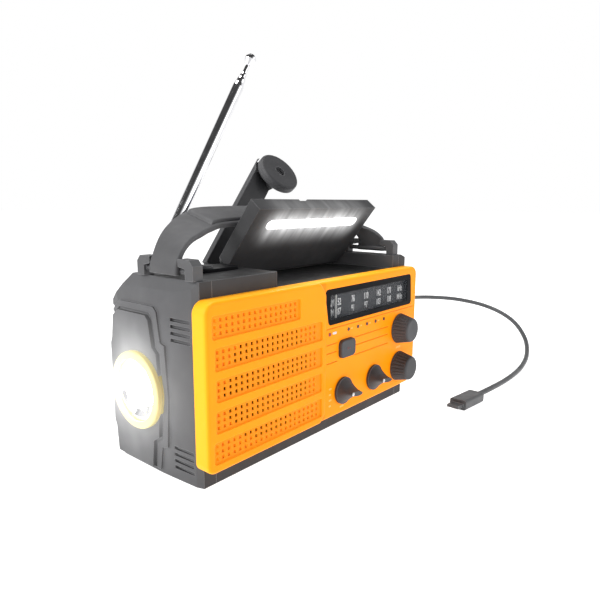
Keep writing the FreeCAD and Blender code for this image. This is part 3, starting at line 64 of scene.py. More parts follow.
# ---- materials ----------------------------------------------------------------------------
class Surface:
    """A node material, built up with short calls."""

    def __init__(self, name, colour, roughness, metallic=0.0):
        self.material = bpy.data.materials.new(name)
        self.material.use_nodes = True
        self.nodes = self.material.node_tree.nodes
        self.links = self.material.node_tree.links
        self.shader = self.nodes["Principled BSDF"]
        self.shader.inputs["Metallic"].default_value = metallic
        self.shader.inputs["Roughness"].default_value = roughness
        self.shader.inputs["Base Color"].default_value = (*colour, 1)
        self.colour = self.constant(colour)
        self.normal = None
        self.place = self.nodes.new("ShaderNodeTexCoord").outputs["Object"]

    def constant(self, colour):
        node = self.nodes.new("ShaderNodeRGB")
        node.outputs[0].default_value = (*colour, 1)
        return node.outputs[0]

    def noise(self, scale, detail=3.0, stretch=(1, 1, 1)):
        mapping = self.nodes.new("ShaderNodeMapping")
        mapping.inputs["Scale"].default_value = stretch
        self.links.new(self.place, mapping.inputs["Vector"])
        node = self.nodes.new("ShaderNodeTexNoise")
        node.inputs["Scale"].default_value = scale
        node.inputs["Detail"].default_value = detail
        self.links.new(mapping.outputs[0], node.inputs["Vector"])
        return node.outputs["Fac"]

    def ramp(self, value, low, high, from_value=0.0, to_value=1.0):
        node = self.nodes.new("ShaderNodeMapRange")
        node.inputs["From Min"].default_value = low
        node.inputs["From Max"].default_value = high
        node.inputs["To Min"].default_value = from_value
        node.inputs["To Max"].default_value = to_value
        self.links.new(value, node.inputs["Value"])
        return node.outputs[0]

    def math(self, kind, a, b):
        node = self.nodes.new("ShaderNodeMath")
        node.operation = kind
        for socket, value in zip(node.inputs, (a, b)):
            if isinstance(value, (int, float)):
                socket.default_value = value
            else:
                self.links.new(value, socket)
        return node.outputs[0]

    def mix(self, factor, other):
        """Blend the surface's colour towards another colour."""
        node = self.nodes.new("ShaderNodeMix")
        node.data_type = "RGBA"
        self.links.new(factor, node.inputs["Factor"])
        self.links.new(self.colour, node.inputs["A"])
        node.inputs["B"].default_value = (*other, 1)
        self.colour = node.outputs["Result"]
        return self

    def vary(self, other, scale, share=1.0, detail=3.0, stretch=(1, 1, 1)):
        return self.mix(self.ramp(self.noise(scale, detail, stretch), 0.35, 0.7, 0, share), other)

    def bump(self, height, distance, strength=1.0):
        node = self.nodes.new("ShaderNodeBump")
        node.inputs["Strength"].default_value = strength
        node.inputs["Distance"].default_value = distance
        self.links.new(height, node.inputs["Height"])
        if self.normal is not None:
            self.links.new(self.normal, node.inputs["Normal"])
        self.normal = node.outputs[0]
        return self

    def grain(self, scale, distance, strength=0.5):
        return self.bump(self.noise(scale, 4.0), distance, strength)

    def soft_edges(self, radius, edge_highlight, highlight_share):
        """Rounded look on moulded edges, and a lighter colour painted along them as a highlight."""
        bevel = self.nodes.new("ShaderNodeBevel")
        bevel.samples = 6
        bevel.inputs["Radius"].default_value = radius
        geometry = self.nodes.new("ShaderNodeNewGeometry")
        dot = self.nodes.new("ShaderNodeVectorMath")
        dot.operation = "DOT_PRODUCT"
        self.links.new(bevel.outputs[0], dot.inputs[0])
        self.links.new(geometry.outputs["Normal"], dot.inputs[1])
        # Painted highlight: a lighter colour where the rounded normal turns away from the true face.
        self.mix(self.ramp(dot.outputs["Value"], 0.99, 0.8, 0, highlight_share), edge_highlight)
        self.normal = bevel.outputs[0]
        return self

    def part_of_place(self, axis):
        split = self.nodes.new("ShaderNodeSeparateXYZ")
        self.links.new(self.place, split.inputs[0])
        return split.outputs[axis]

    def facing(self, axis, low, high):
        """0 to 1 as the unbumped face turns towards an axis of the piece."""
        coords = self.nodes.new("ShaderNodeTexCoord")
        split = self.nodes.new("ShaderNodeSeparateXYZ")
        self.links.new(coords.outputs["Normal"], split.inputs[0])
        return self.ramp(split.outputs[axis], low, high)

    def band(self, value, low, high, soft=0.00004):
        """1 where a length lies between two limits."""
        above = self.ramp(value, low - soft, low + soft)
        return self.math("MULTIPLY", above, self.ramp(value, high - soft, high + soft, 1, 0))

    def spill(self, centre, half_long, reach, strength, colour=(1, 1, 1)):
        """Lamp light lying on the plastic round a lamp: a line along X, or a point."""
        shift = self.nodes.new("ShaderNodeVectorMath")
        shift.operation = "SUBTRACT"
        self.links.new(self.place, shift.inputs[0])
        shift.inputs[1].default_value = centre
        size = self.nodes.new("ShaderNodeVectorMath")
        size.operation = "ABSOLUTE"
        self.links.new(shift.outputs[0], size.inputs[0])
        pull = self.nodes.new("ShaderNodeVectorMath")
        pull.operation = "SUBTRACT"
        self.links.new(size.outputs[0], pull.inputs[0])
        pull.inputs[1].default_value = (half_long, 0, 0)
        floor = self.nodes.new("ShaderNodeVectorMath")
        floor.operation = "MAXIMUM"
        self.links.new(pull.outputs[0], floor.inputs[0])
        length = self.nodes.new("ShaderNodeVectorMath")
        length.operation = "LENGTH"
        self.links.new(floor.outputs[0], length.inputs[0])
        near = self.ramp(length.outputs["Value"], reach, 0.0)
        rays = self.ramp(self.noise(260, 2, (1, 0.15, 0.15)), 0.3, 0.7, 0.6, 1.2)
        level = self.math("MULTIPLY", self.math("POWER", near, 3.0), rays)
        self.links.new(self.math("MULTIPLY", level, strength), self.shader.inputs["Emission Strength"])
        self.shader.inputs["Emission Color"].default_value = (*colour, 1)
        return self

    def rough_noise(self, low, high, scale):
        self.links.new(self.ramp(self.noise(scale), 0.3, 0.7, low, high), self.shader.inputs["Roughness"])
        return self

    def glow(self, colour, strength):
        self.shader.inputs["Emission Color"].default_value = (*colour, 1)
        self.shader.inputs["Emission Strength"].default_value = strength
        return self

    def done(self):
        self.links.new(self.colour, self.shader.inputs["Base Color"])
        if self.normal is not None:
            self.links.new(self.normal, self.shader.inputs["Normal"])
        return self.material


def moulded(name, colour, light, roughness, grain=1500, depth=0.00003, edge=0.0005, painted_top_shade=0.0,
            spill=None, shine=0.3):
    surface = Surface(name, colour, roughness)
    surface.vary(light, 60, 0.25)
    # Painted shade and painted light by face direction: upward faces and front faces darker, faces turned to
    # -X lighter.
    if painted_top_shade:
        surface.mix(surface.math("MULTIPLY", surface.facing("Z", 0.6, 0.95), painted_top_shade), (0.003, 0.003, 0.003))
        surface.mix(surface.math("MULTIPLY", surface.facing("Y", -0.7, -0.97), 0.6), (0.018, 0.018, 0.02))
        surface.mix(surface.math("MULTIPLY", surface.facing("X", -0.5, -0.95), 0.35), light)
    # Painted edge highlight in a paler copy of the lighter tone.
    surface.soft_edges(edge, tuple(min(1, c * 1.8) for c in light), 0.8).grain(grain, depth)
    surface.rough_noise(roughness - 0.07, roughness + 0.07, 140)
    surface.shader.inputs["Specular IOR Level"].default_value = shine
    if spill:
        surface.spill(*spill)
    return surface.done()


COVER_FRONT = CORNER.y - mm(7.0)
GRILLE_END = 75.6
DIMPLE_DEEP = mm(0.7)
HOLE_DEEP = mm(2.8)


def cover_orange():
    """Orange cover with painted light and shade: painted highlight makes it yellower on turned edges, painted
    shade makes it deeper in the slots, darker in the dimples and dark down the holes, and it glows a little
    as painted light.
    """
    surface = Surface("orange_cover", (1.0, 0.265, 0.001), 0.42)
    surface.vary((1.0, 0.295, 0.001), 25, 0.6)
    x, y = surface.part_of_place("X"), surface.part_of_place("Y")
    grille = surface.ramp(x, at(GRILLE_END - 0.2, 0, 0).x, at(GRILLE_END + 0.2, 0, 0).x, 1, 0)
    # Painted shade: the grille's front and the first millimetre of its slots are a deeper orange.
    slot_shade = surface.math("MULTIPLY", grille, surface.band(y, COVER_FRONT - mm(0.5), COVER_FRONT + mm(1)))
    surface.mix(slot_shade, (0.90, 0.22, 0.001))
    # Painted highlight: faces turned away from the front are yellower.
    surface.mix(surface.math("MULTIPLY", surface.facing("Y", -0.97, -0.45), 0.8), (1.0, 0.44, 0.015))
    # Painted shade: flat parts of the front are darker orange inside the shallow dimples.
    dimple_shade = surface.band(y, COVER_FRONT + mm(0.05), COVER_FRONT + DIMPLE_DEEP, 0.00001)
    low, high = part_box("front_cover")
    middle = surface.math("MULTIPLY", surface.band(x, low.x + mm(6), high.x - mm(4)),
                          surface.band(surface.part_of_place("Z"), low.z + mm(4), high.z - mm(4)))
    # Painted shade: the hole walls are dark below the dimple depth.
    below = surface.ramp(y, COVER_FRONT + DIMPLE_DEEP - mm(0.08), COVER_FRONT + DIMPLE_DEEP)
    wall = surface.ramp(y, COVER_FRONT + HOLE_DEEP - mm(0.2), COVER_FRONT + HOLE_DEEP, 1, 0)
    flat = surface.math("MULTIPLY", middle, surface.facing("X", -0.97, -0.8))
    surface.mix(surface.math("MULTIPLY", dimple_shade, surface.math("MULTIPLY", flat, 0.8)), (0.62, 0.12, 0.0))
    hole_shade = surface.math("MULTIPLY", surface.math("MULTIPLY", middle, below), wall)
    surface.mix(hole_shade, (0.10, 0.012, 0.0))
    # Painted highlight: the rounded edges are a paler yellow.
    surface.soft_edges(0.0005, (1.0, 0.56, 0.04), 0.35).grain(1800, 0.000015, 0.4)
    surface.rough_noise(0.36, 0.48, 200)
    surface.shader.inputs["Specular IOR Level"].default_value = 0.12
    # Painted light: the cover glows faintly in its own colour.
    surface.links.new(surface.colour, surface.shader.inputs["Emission Color"])
    surface.shader.inputs["Emission Strength"].default_value = 0.20
    return surface.done()


def metal(name, colour, roughness, brush=None):
    surface = Surface(name, colour, roughness, 1.0)
    surface.vary(tuple(c * 0.8 for c in colour), 400, 0.4)
    if brush:
        surface.bump(surface.noise(900, 2, brush), 0.00002, 0.5)
    surface.rough_noise(max(0.02, roughness - 0.05), roughness + 0.06, 300)
    return surface.done()


def clear(name, tint, alpha):
    """Clear plastic with hardly any shine, so that what is behind it stays readable."""
    surface = Surface(name, tint, 0.08)
    surface.vary((1, 1, 1), 120, 0.3)
    surface.shader.inputs["Alpha"].default_value = alpha
    surface.shader.inputs["Specular IOR Level"].default_value = 0.04
    return surface.done()


def glowing(name, colour, strength):
    surface = Surface(name, colour, 0.3)
    surface.vary(tuple(min(1, c * 1.05) for c in colour), 300, 0.3).glow(colour, strength)
    return surface.done()


CELL_PITCH = 0.0149
FINGER_PITCH = 0.0022


def solar_cells():
    """Dark cells under resin, with silver lines between the cells and fine fingers over them."""
    surface = Surface("solar_cells", (0.01, 0.018, 0.05), 0.18)
    surface.vary((0.02, 0.035, 0.10), 90, 0.8)
    x, z = surface.part_of_place("X"), surface.part_of_place("Z")
    across = surface.math("FRACT", surface.math("MULTIPLY", x, 1 / CELL_PITCH), 0)
    gap = surface.math("LESS_THAN", surface.math("ABSOLUTE", surface.math("SUBTRACT", across, 0.5), 0), 0.035)
    surface.mix(gap, (0.55, 0.56, 0.58))
    rise = surface.math("FRACT", surface.math("MULTIPLY", z, 1 / FINGER_PITCH), 0)
    surface.mix(surface.math("MULTIPLY", surface.math("LESS_THAN", rise, 0.09), 0.7), (0.35, 0.37, 0.4))
    surface.shader.inputs["Coat Weight"].default_value = 0.6
    surface.grain(700, 0.00001, 0.3)
    return surface.done()


def circuit_board():
    surface = Surface("circuit_board", (0.02, 0.13, 0.05), 0.45)
    surface.vary((0.05, 0.25, 0.10), 220, 0.8).grain(900, 0.00002)
    return surface.done()


def status_lamps():
    """Dark red light pipes; the one at the grille side is lit."""
    surface = Surface("smoked_lens", (0.035, 0.004, 0.002), 0.35)
    surface.vary((0.07, 0.008, 0.004), 500, 0.5)
    lit = surface.ramp(surface.part_of_place("X"), at(84.0, 0, 0).x, at(85.0, 0, 0).x, 0.25, 0)
    surface.shader.inputs["Emission Color"].default_value = (1.0, 0.05, 0.02, 1)
    surface.links.new(lit, surface.shader.inputs["Emission Strength"])
    return surface.done()


def middle_of(node):
    low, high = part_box(node)
    return (low + high) / 2


# The body's lighter tone is its random lighter mottling, the painted light on faces turned to -X and, paler
# still, the painted edge highlight.
BODY, BODY_LIGHT = (0.050, 0.050, 0.053), (0.115, 0.115, 0.120)
MATERIALS = {
    "body_plastic": moulded("body_plastic", BODY, BODY_LIGHT, 0.55, painted_top_shade=0.85, edge=0.0007),
    "cover_plastic": cover_orange(),
    "knob_rubber": moulded("knob_rubber", (0.048, 0.048, 0.052), (0.11, 0.11, 0.115), 0.5, 2200, 0.00001,
                           0.0003),
    "strap_rubber": moulded("strap_rubber", (0.070, 0.070, 0.073), (0.13, 0.13, 0.135), 0.6, 1300, 0.00004,
                            0.0005),
    "black_plastic": moulded("black_plastic", (0.003, 0.003, 0.004), (0.007, 0.007, 0.008), 0.4, 1200,
                             0.00001, shine=0.05),
    "scale_print": moulded("scale_print", (0.040, 0.041, 0.044), (0.052, 0.053, 0.056), 0.7, 900, 0.00001,
                           0.0002, shine=0.1),
    "clear_plastic": clear("clear_plastic", (0.2, 0.22, 0.25), 0.05),
    "white_lens": glowing("lamp_lens", (1.0, 1.0, 1.0), 2.5),
    "smoked_lens": status_lamps(),
    "torch_ring": moulded("torch_ring", (0.86, 0.74, 0.34), (0.92, 0.84, 0.52), 0.35, 900, 0.00001, 0.0006,
                          spill=(middle_of("torch_lens") + Vector((0, 0.012, 0)), 0, 0.040, 1.3,
                                 (1.0, 0.95, 0.72))),
    "reflector": metal("reflector", (0.92, 0.92, 0.93), 0.12),
    "led": glowing("torch_led", (1.0, 0.97, 0.90), 12.0),
    "chrome": metal("chrome", (0.86, 0.86, 0.88), 0.10),
    "steel": metal("steel", (0.55, 0.55, 0.57), 0.28, (1, 12, 1)),
    "gear_nylon": moulded("gear_nylon", (0.75, 0.75, 0.70), (0.85, 0.85, 0.80), 0.45),
    "board": circuit_board(),
    "cell_skin": moulded("cell_skin", (0.03, 0.08, 0.30), (0.06, 0.14, 0.45), 0.3),
    "solar": solar_cells(),
    "paper_cone": moulded("paper_cone", (0.008, 0.006, 0.005), (0.02, 0.015, 0.012), 0.9, 700, 0.00012),
    "copper": metal("copper", (0.65, 0.32, 0.14), 0.35, (1, 30, 1)),
    "cable_jacket": moulded("cable_jacket", (0.060, 0.062, 0.065), (0.14, 0.14, 0.145), 0.45, 1400, 0.00002),
    "cord_thread": moulded("cord_thread", (0.6, 0.58, 0.52), (0.75, 0.72, 0.65), 0.8, 2500, 0.00008),
    "pointer": moulded("pointer", (0.30, 0.30, 0.29), (0.4, 0.4, 0.38), 0.5),
}
WHITE_PRINT = moulded("white_print", (0.62, 0.62, 0.62), (0.75, 0.75, 0.75), 0.6, 900, 0.00001, 0.0001)
PALE_PRINT = moulded("pale_print", (1.0, 0.48, 0.10), (1.0, 0.55, 0.15), 0.6, 900, 0.00001, 0.0001)
RED_PRINT = moulded("red_print", (0.12, 0.04, 0.04), (0.16, 0.06, 0.06), 0.5, 900, 0.00001, 0.0001)
LAMP_SPILL = (middle_of("panel_lamp_lens"), 0.030, 0.019, 1.4)
SPECIAL = {
    "solar_panel_frame": moulded("panel_plastic", (0.034, 0.034, 0.036), (0.09, 0.09, 0.092), 0.55,
                                 spill=LAMP_SPILL),
    # Painted shade on the end cap's tops and fronts and painted light on its -X end, as on the body.
    "lamp_end_cap": moulded("cap_plastic", BODY, BODY_LIGHT, 0.55, painted_top_shade=0.85,
                            spill=(middle_of("torch_lens") + Vector((0, 0.006, 0)), 0, 0.054, 1.7),
                            edge=0.0007),
    "torch_lens": glowing("torch_glow", (1.0, 1.0, 0.97), 2.2),
    "speaker_frame": moulded("speaker_steel", (0.010, 0.006, 0.004), (0.02, 0.015, 0.01), 0.8),
    "strap_brackets": moulded("bracket_plastic", (0.072, 0.072, 0.075), (0.14, 0.14, 0.145), 0.55),
}

slot_of = {entry["node"]: entry["material_slot"] for entry in frame["record"]["subparts"]}
for name, node in NODES.items():
    node.data.materials.clear()
    node.data.materials.append(SPECIAL.get(name, MATERIALS[slot_of[name]]))


# ---- helpers for new pieces ---------------------------------------------------------------
def piece(name, mesh, material, body, smooth=True):
    """Object for a finished mesh, riding on a body."""
    mesh.materials.append(material)
    if smooth:
        for polygon in mesh.polygons:
            polygon.use_smooth = True
        mesh.set_sharp_from_angle(angle=math.radians(35))
    made = bpy.data.objects.new(name, mesh)
    bpy.context.scene.collection.objects.link(made)
    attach(made, body)
    return made


def grid_mesh(name, rows):
    """Closed mesh through rows of points; each row is one ring of the shape."""
    count = len(rows[0])
    points = [p for row in rows for p in row]
    faces = []
    for i in range(len(rows) - 1):
        for j in range(count):
            k = (j + 1) % count
            faces.append((i * count + j, i * count + k, (i + 1) * count + k, (i + 1) * count + j))
    faces.append(tuple(range(count - 1, -1, -1)))
    faces.append(tuple((len(rows) - 1) * count + j for j in range(count)))
    mesh = bpy.data.meshes.new(name)
    mesh.from_pydata([tuple(p) for p in points], [], faces)
    mesh.update()
    return mesh


def basis(axis):
    """Two unit directions square to an axis."""
    axis = Vector(axis).normalized()
    side = axis.cross(Vector((0, 0, 1)))
    if side.length < 0.1:
        side = axis.cross(Vector((0, 1, 0)))
    side.normalize()
    return side, axis.cross(side).normalized()


def lathe(name, centre, axis, profile, steps=48):
    """Turned mesh: profile is (radius, distance along the axis) in millimetres."""
    side, up = basis(axis)
    axis = Vector(axis).normalized()
    rows = []
    for radius, along in profile:
        ring = []
        for i in range(steps):
            a = 2 * math.pi * i / steps
            ring.append(centre + axis * mm(along) + (side * math.cos(a) + up * math.sin(a)) * mm(radius))
        rows.append(ring)
    return grid_mesh(name, rows)


def curve_value(stops, t):
    """Smooth (Catmull-Rom) value through evenly spaced tuples, t from 0 to their last index."""
    i = max(0, min(len(stops) - 2, int(t)))
    u = t - i
    p0, p1 = stops[max(0, i - 1)], stops[i]
    p2, p3 = stops[i + 1], stops[min(len(stops) - 1, i + 2)]
    result = []
    for a, b, c, d in zip(p0, p1, p2, p3):
        result.append(0.5 * (2 * b + (c - a) * u + (2 * a - 5 * b + 4 * c - d) * u * u
                             + (3 * b - a - 3 * c + d) * u ** 3))
    return result


# ---- camera -------------------------------------------------------------------------------
CAMERA_PLACE = at(-132.5, -166.8, 118.2)
TURN, TILT, ROLL = math.radians(-49.73), math.radians(10.19), math.radians(0.25)
LENS = 33.05


def make_camera():
    forward = Vector((-math.sin(TURN) * math.cos(TILT), math.cos(TURN) * math.cos(TILT), -math.sin(TILT)))
    right = Vector((math.cos(TURN), math.sin(TURN), 0))
    up = right.cross(forward)
    rolled_right = right * math.cos(ROLL) + up * math.sin(ROLL)
    rolled_up = up * math.cos(ROLL) - right * math.sin(ROLL)
    data = bpy.data.cameras.new("camera")
    data.lens = LENS
    data.sensor_width = 36
    data.clip_start = 0.005
    camera = bpy.data.objects.new("camera", data)
    columns = (rolled_right, rolled_up, -forward)
    camera.matrix_world = Matrix.Translation(CAMERA_PLACE) @ Matrix(
        [[c[i] for c in columns] for i in range(3)]).to_4x4()
    bpy.context.scene.collection.objects.link(camera)
    bpy.context.scene.camera = camera


make_camera()

# ---- output cable -------------------------------------------------------------------------
CABLE_D = 3.2
CABLE_ROUTE = [(184.0, 22.0, 52.0), (209.0, 24.3, 50.9), (233.5, 36.2, 47.0), (257.6, 50.8, 42.0),
               (282.4, 60.0, 37.6), (308.8, 57.4, 34.9), (329.6, 41.0, 32.6), (336.9, 15.3, 28.6),
               (329.7, -9.9, 21.4), (312.4, -27.6, 11.0), (288.2, -37.3, 4.0), (261.6, -42.3, 1.75),
               (234.5, -44.6, 1.75), (207.3, -44.3, 1.9), (180.2, -43.2, 3.1)]


def make_cable():
    data = bpy.data.curves.new("output_cable", "CURVE")
    data.dimensions = "3D"
    data.bevel_depth = mm(CABLE_D / 2)
    data.bevel_resolution = 6
    data.use_fill_caps = True
    data.resolution_u = 24
    spline = data.splines.new("NURBS")
    spline.points.add(len(CABLE_ROUTE) - 1)
    for point, place in zip(spline.points, CABLE_ROUTE):
        point.co = (*at(*place), 1)
    spline.order_u = 3
    spline.use_endpoint_u = True
    data.materials.append(MATERIALS["cable_jacket"])
    cable = bpy.data.objects.new("output_cable", data)
    bpy.context.scene.collection.objects.link(cable)
    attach(cable, "chassis")
    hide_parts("cable")


make_cable()


# ---- carrying strap -----------------------------------------------------------------------
STRAP_LEFT, STRAP_RIGHT, STRAP_T = 4.1, 153.1, 2.4


def strap_stations():
    """x, height, front and back edges in y, front dip and back rise, from bracket to bracket."""
    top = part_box("main_housing")[1].z * 1000
    a, b = STRAP_LEFT, STRAP_RIGHT
    low = 1.6  # height of the strap's ends over the body's top
    rows = [(a - 0.9, low, 10.8, 28.9, 0, 0), (a - 0.6, 5.0, 10.8, 28.9, 0, 0),
            (a + 1.0, 8.8, 10.9, 28.95, 0, 0), (a + 4.2, 12.0, 12.4, 31.2, 0.5, 0.4),
            (a + 9.5, 15.0, 15.0, 35.0, 1.2, 1.1), (a + 17.0, 17.6, 18.6, 39.6, 2.2, 2.0),
            (a + 28.0, 20.2, 24.4, 45.6, 3.0, 2.8), (a + 42.0, 21.8, 29.2, 49.2, 3.2, 3.2),
            (80.0, 22.4, 29.6, 49.8, 3.0, 3.0), (b - 42.0, 22.4, 29.6, 49.8, 3.0, 3.0),
            (b - 24.0, 21.8, 29.8, 49.4, 2.6, 2.6), (b - 14.0, 20.8, 30.8, 48.9, 2.2, 2.2),
            (b - 6.5, 18.4, 32.0, 47.0, 1.4, 1.2), (b - 3.0, 16.4, 25.0, 41.4, 0.8, 0.6),
            (b - 0.6, 13.0, 16.5, 33.5, 0.2, 0.2), (b + 0.7, 9.0, 11.4, 29.0, 0, 0),
            (b + 1.0, 5.5, 10.8, 28.9, 0, 0), (b + 0.9, low, 10.8, 28.9, 0, 0)]
    return [(x, top + z, front, back, dip, rise) for x, z, front, back, dip, rise in rows]


def strap_ring(stations, t, lifts, inset):
    """Rounded section of the strap at t; lifts are its inner and outer distance from the band."""
    last = len(stations) - 1
    x, z, front, back, dip, rise = curve_value(stations, t)
    ahead, behind = curve_value(stations, min(last, t + 0.05)), curve_value(stations, max(0, t - 0.05))
    normal = Vector((behind[1] - ahead[1], 0, ahead[0] - behind[0])).normalized()
    low, high = lifts
    soft = min(0.8, (high - low) * 0.4)
    ring = []
    y0, y1 = front + inset, back - inset
    for cy, cl, first in ((y0 + soft, low + soft, 180), (y1 - soft, low + soft, 270),
                          (y1 - soft, high - soft, 0), (y0 + soft, high - soft, 90)):
        for i in range(4):
            turn = math.radians(first + 30 * i)
            y, lift = cy + soft * math.cos(turn), cl + soft * math.sin(turn)
            share = (y - front) / (back - front)
            ring.append(at(x, y, z - dip + share * (dip + rise)) + normal * mm(lift))
    return ring


def make_strap():
    """Moulded strap with rounded edges, and a thicker grip pad along its middle."""
    stations = strap_stations()
    steps = 10
    count = (len(stations) - 1) * steps
    rows = [strap_ring(stations, i / steps, (0, STRAP_T), 0) for i in range(count + 1)]
    band = piece("strap_band", grid_mesh("strap_band", rows), MATERIALS["strap_rubber"], "chassis")
    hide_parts("carrying_strap")
    rows = []
    first, last = 6.2, 10.4
    steps = 40
    for i in range(steps + 1):
        t = first + (last - first) * i / steps
        tall = 1.5 * min(1.0, (1 - abs(2 * i / steps - 1)) * 8 + 0.15)
        rows.append(strap_ring(stations, t, (STRAP_T - 0.1, STRAP_T + tall), 1.6))
    piece("strap_grip", grid_mesh("strap_grip", rows), MATERIALS["strap_rubber"], "chassis")


make_strap()


# ---- lamps --------------------------------------------------------------------------------
LAMP_SPOT = [(1.9, 0.2), (1.9, 0.9), (1.5, 1.3), (0.6, 1.5)]


def make_lamps():
    """White LED spots behind the panel's lamp lens."""
    low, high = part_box("panel_lamp_lens")
    middle = middle_of("panel_lamp_lens")
    outward = (middle - middle_of("panel_lamp_board")).normalized()
    glow = glowing("lamp_spot", (1.0, 1.0, 1.0), 25.0)
    spots = 8
    for i in range(spots):
        x = low.x + (high.x - low.x) * (i + 0.5) / spots
        centre = Vector((x, middle.y, middle.z))
        mesh = lathe("lamp_spot_%d" % i, centre, outward, LAMP_SPOT, 20)
        piece("lamp_spot_%d" % i, mesh, glow, "panel")


make_lamps()


# ---- dial print ---------------------------------------------------------------------------
NUMBER_SIZE = 4.9
NUMBER_NARROW = 0.62
PRINT_THICK = 0.08


def words(name, text, place):
    """Narrow printed characters on the dial scale."""
    data = bpy.data.curves.new(name, "FONT")
    data.body = text
    data.size = mm(NUMBER_SIZE)
    data.extrude = mm(0.04)
    data.offset = mm(0.05)
    data.align_x = "CENTER"
    data.align_y = "CENTER"
    data.materials.append(WHITE_PRINT)
    made = bpy.data.objects.new(name, data)
    made.rotation_euler = (math.pi / 2, 0, 0)
    made.scale = (NUMBER_NARROW, 1, 1)
    made.location = place
    bpy.context.scene.collection.objects.link(made)
    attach(made, "chassis")


def bar(name, x0, x1, z0, z1, y, material, body="chassis"):
    """Thin printed bar on a face that looks to the front, with softened ends."""
    cut = min(x1 - x0, z1 - z0) * 0.25
    outline = [(x0 + cut, z0), (x1 - cut, z0), (x1, z0 + cut), (x1, z1 - cut), (x1 - cut, z1), (x0 + cut, z1),
               (x0, z1 - cut), (x0, z0 + cut)]
    rows = [[at(x, y, z) for x, z in outline], [at(x, y - PRINT_THICK, z) for x, z in outline]]
    return piece(name, grid_mesh(name, rows), material, body, smooth=False)


def make_dial():
    """Two rows of band numbers on the scale, in line with the pointer's travel."""
    low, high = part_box("dial_scale")
    face = (low.y - CORNER.y) * 1000 - 0.02
    top, bottom = high.z * 1000, low.z * 1000
    needle = (middle_of("dial_pointer").x - CORNER.x) * 1000
    places = (needle - 1.7, needle + 4.8, 103.0, 115.2, 127.8, 139.0, 150.8)
    rows = ((top - 7.2, ("AM", "52", "76", "110", "142", "171", "kHz")),
            (bottom + 3.1, ("FM", "87", "91", "97", "103", "108", "MHz")))
    for row, (z, labels) in enumerate(rows):
        for i, (x, label) in enumerate(zip(places, labels)):
            words("dial_number_%d_%d" % (row, i), label, at(x, face - 0.05, z))


make_dial()


# ---- small marks --------------------------------------------------------------------------
def make_marks():
    """Small printed marks by the status lamps, the selectors and the volume knob, and on the button."""
    cover = (COVER_FRONT - CORNER.y) * 1000
    bar("status_mark", 81.4, 84.6, 52.8, 54.0, cover, WHITE_PRINT)
    dot_x, dot_pitch, dot_z = 97.2, 8.5, 53.0
    for i in range(4):
        x = dot_x + dot_pitch * i
        bar("dot_mark_%d" % i, x, x + 1.4, dot_z, dot_z + 0.7, cover, PALE_PRINT)
    band_x, band_z, band_pitch = 79.0, 15.4, 3.0
    for i in range(4):
        z = band_z + band_pitch * i
        bar("band_mark_%d" % i, band_x, band_x + 1.6 + 0.5 * (i % 2), z, z + 0.9, cover, PALE_PRINT)
    bar("band_mark_low", 88.4, 91.6, 12.6, 13.5, cover, PALE_PRINT)
    bar("volume_mark", 143.6, 148.4, 33.1, 34.1, cover, PALE_PRINT)
    button = (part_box("power_button")[0].y - CORNER.y) * 1000
    bar("power_mark", 91.6, 92.6, 43.4, 44.8, button, RED_PRINT, "power_button")
    bar("power_mark_side", 93.4, 94.2, 43.4, 44.6, button, RED_PRINT, "power_button")
    for body, node in (("band", "band_selector"), ("mode", "mode_selector")):
        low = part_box(node)[0]
        middle = middle_of(node)
        reach = mm(3.5)
        tip = Vector((middle.x - reach * math.cos(SELECTOR_TURN), low.y,
                      middle.z - reach * math.sin(SELECTOR_TURN)))
        mesh = lathe("%s_dot" % body, tip, (0, -1, 0), [(0.95, -0.3), (0.95, 0.08), (0.6, 0.16)], 16)
        piece("%s_dot" % body, mesh, WHITE_PRINT, body)


make_marks()


# ---- stage and light ----------------------------------------------------------------------
def area_light(name, place, target, size, energy):
    data = bpy.data.lights.new(name, "AREA")
    data.shape = "RECTANGLE"
    data.size, data.size_y = size
    data.energy = energy
    light = bpy.data.objects.new(name, data)
    light.location = place
    light.rotation_euler = (Vector(target) - Vector(place)).to_track_quat("-Z", "Y").to_euler()
    bpy.context.scene.collection.objects.link(light)


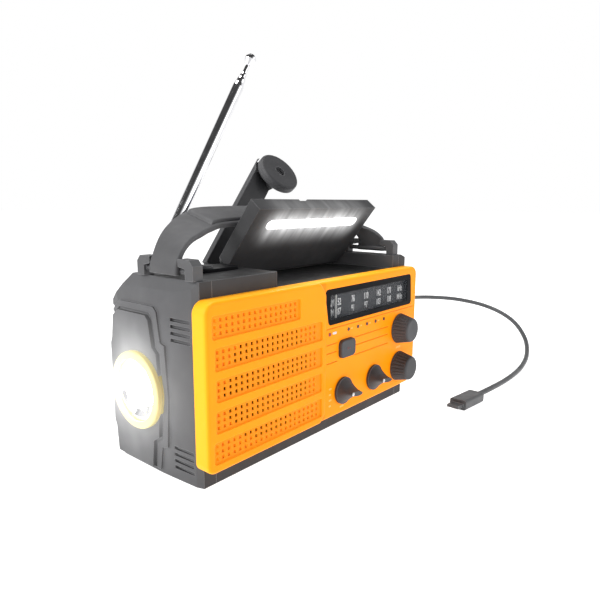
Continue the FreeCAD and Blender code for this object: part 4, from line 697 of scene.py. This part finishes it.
def studio_world():
    """White all round, darker overhead and darker behind the camera."""
    world = bpy.data.worlds.new("studio")
    world.use_nodes = True
    nodes, links = world.node_tree.nodes, world.node_tree.links
    coords = nodes.new("ShaderNodeTexCoord").outputs["Generated"]
    dot = nodes.new("ShaderNodeVectorMath")
    dot.operation = "DOT_PRODUCT"
    links.new(coords, dot.inputs[0])
    dot.inputs[1].default_value = Vector((-CAMERA_PLACE.x, -CAMERA_PLACE.y, 0)).normalized()
    behind = nodes.new("ShaderNodeMapRange")
    for key, value in (("From Min", -0.95), ("From Max", -0.65), ("To Min", 0.8), ("To Max", 1.0)):
        behind.inputs[key].default_value = value
    links.new(dot.outputs["Value"], behind.inputs["Value"])
    split = nodes.new("ShaderNodeSeparateXYZ")
    links.new(coords, split.inputs[0])
    over = nodes.new("ShaderNodeMapRange")
    for key, value in (("From Min", 0.40), ("From Max", 0.62), ("To Min", 1.0), ("To Max", 0.06)):
        over.inputs[key].default_value = value
    links.new(split.outputs["Z"], over.inputs["Value"])
    level = nodes.new("ShaderNodeMath")
    level.operation = "MULTIPLY"
    links.new(behind.outputs[0], level.inputs[0])
    links.new(over.outputs[0], level.inputs[1])
    background = nodes["Background"]
    background.inputs["Color"].default_value = (1, 1, 1, 1)
    links.new(level.outputs[0], background.inputs["Strength"])
    bpy.context.scene.world = world


def make_stage():
    surface = Surface("studio_floor", (0.52, 0.52, 0.52), 0.8)
    surface.vary((0.55, 0.55, 0.55), 3, 0.5).glow((1, 1, 1), 0.98)
    surface.shader.inputs["Specular IOR Level"].default_value = 0.0
    material = surface.done()
    half = 6.0
    corners = [(-half, -half, 0), (half, -half, 0), (half, half, 0), (-half, half, 0)]
    mesh = bpy.data.meshes.new("floor")
    mesh.from_pydata(corners, [], [(0, 1, 2, 3)])
    mesh.materials.append(material)
    floor = bpy.data.objects.new("floor", mesh)
    floor.location.z = -0.0002
    bpy.context.scene.collection.objects.link(floor)
    studio_world()
    area_light("left_softbox", (-0.95, 0.30, 0.62), (-0.05, 0, 0.06), (0.7, 0.6), 9.0)
    area_light("top_softbox", (0.10, 0.25, 1.10), (0, 0.03, 0.1), (0.6, 0.5), 9.0)
    area_light("front_softbox", (0.35, -1.0, 0.35), (0, 0, 0.05), (0.6, 0.5), 3.5)
    bpy.context.scene.view_settings.view_transform = "Standard"


make_stage()
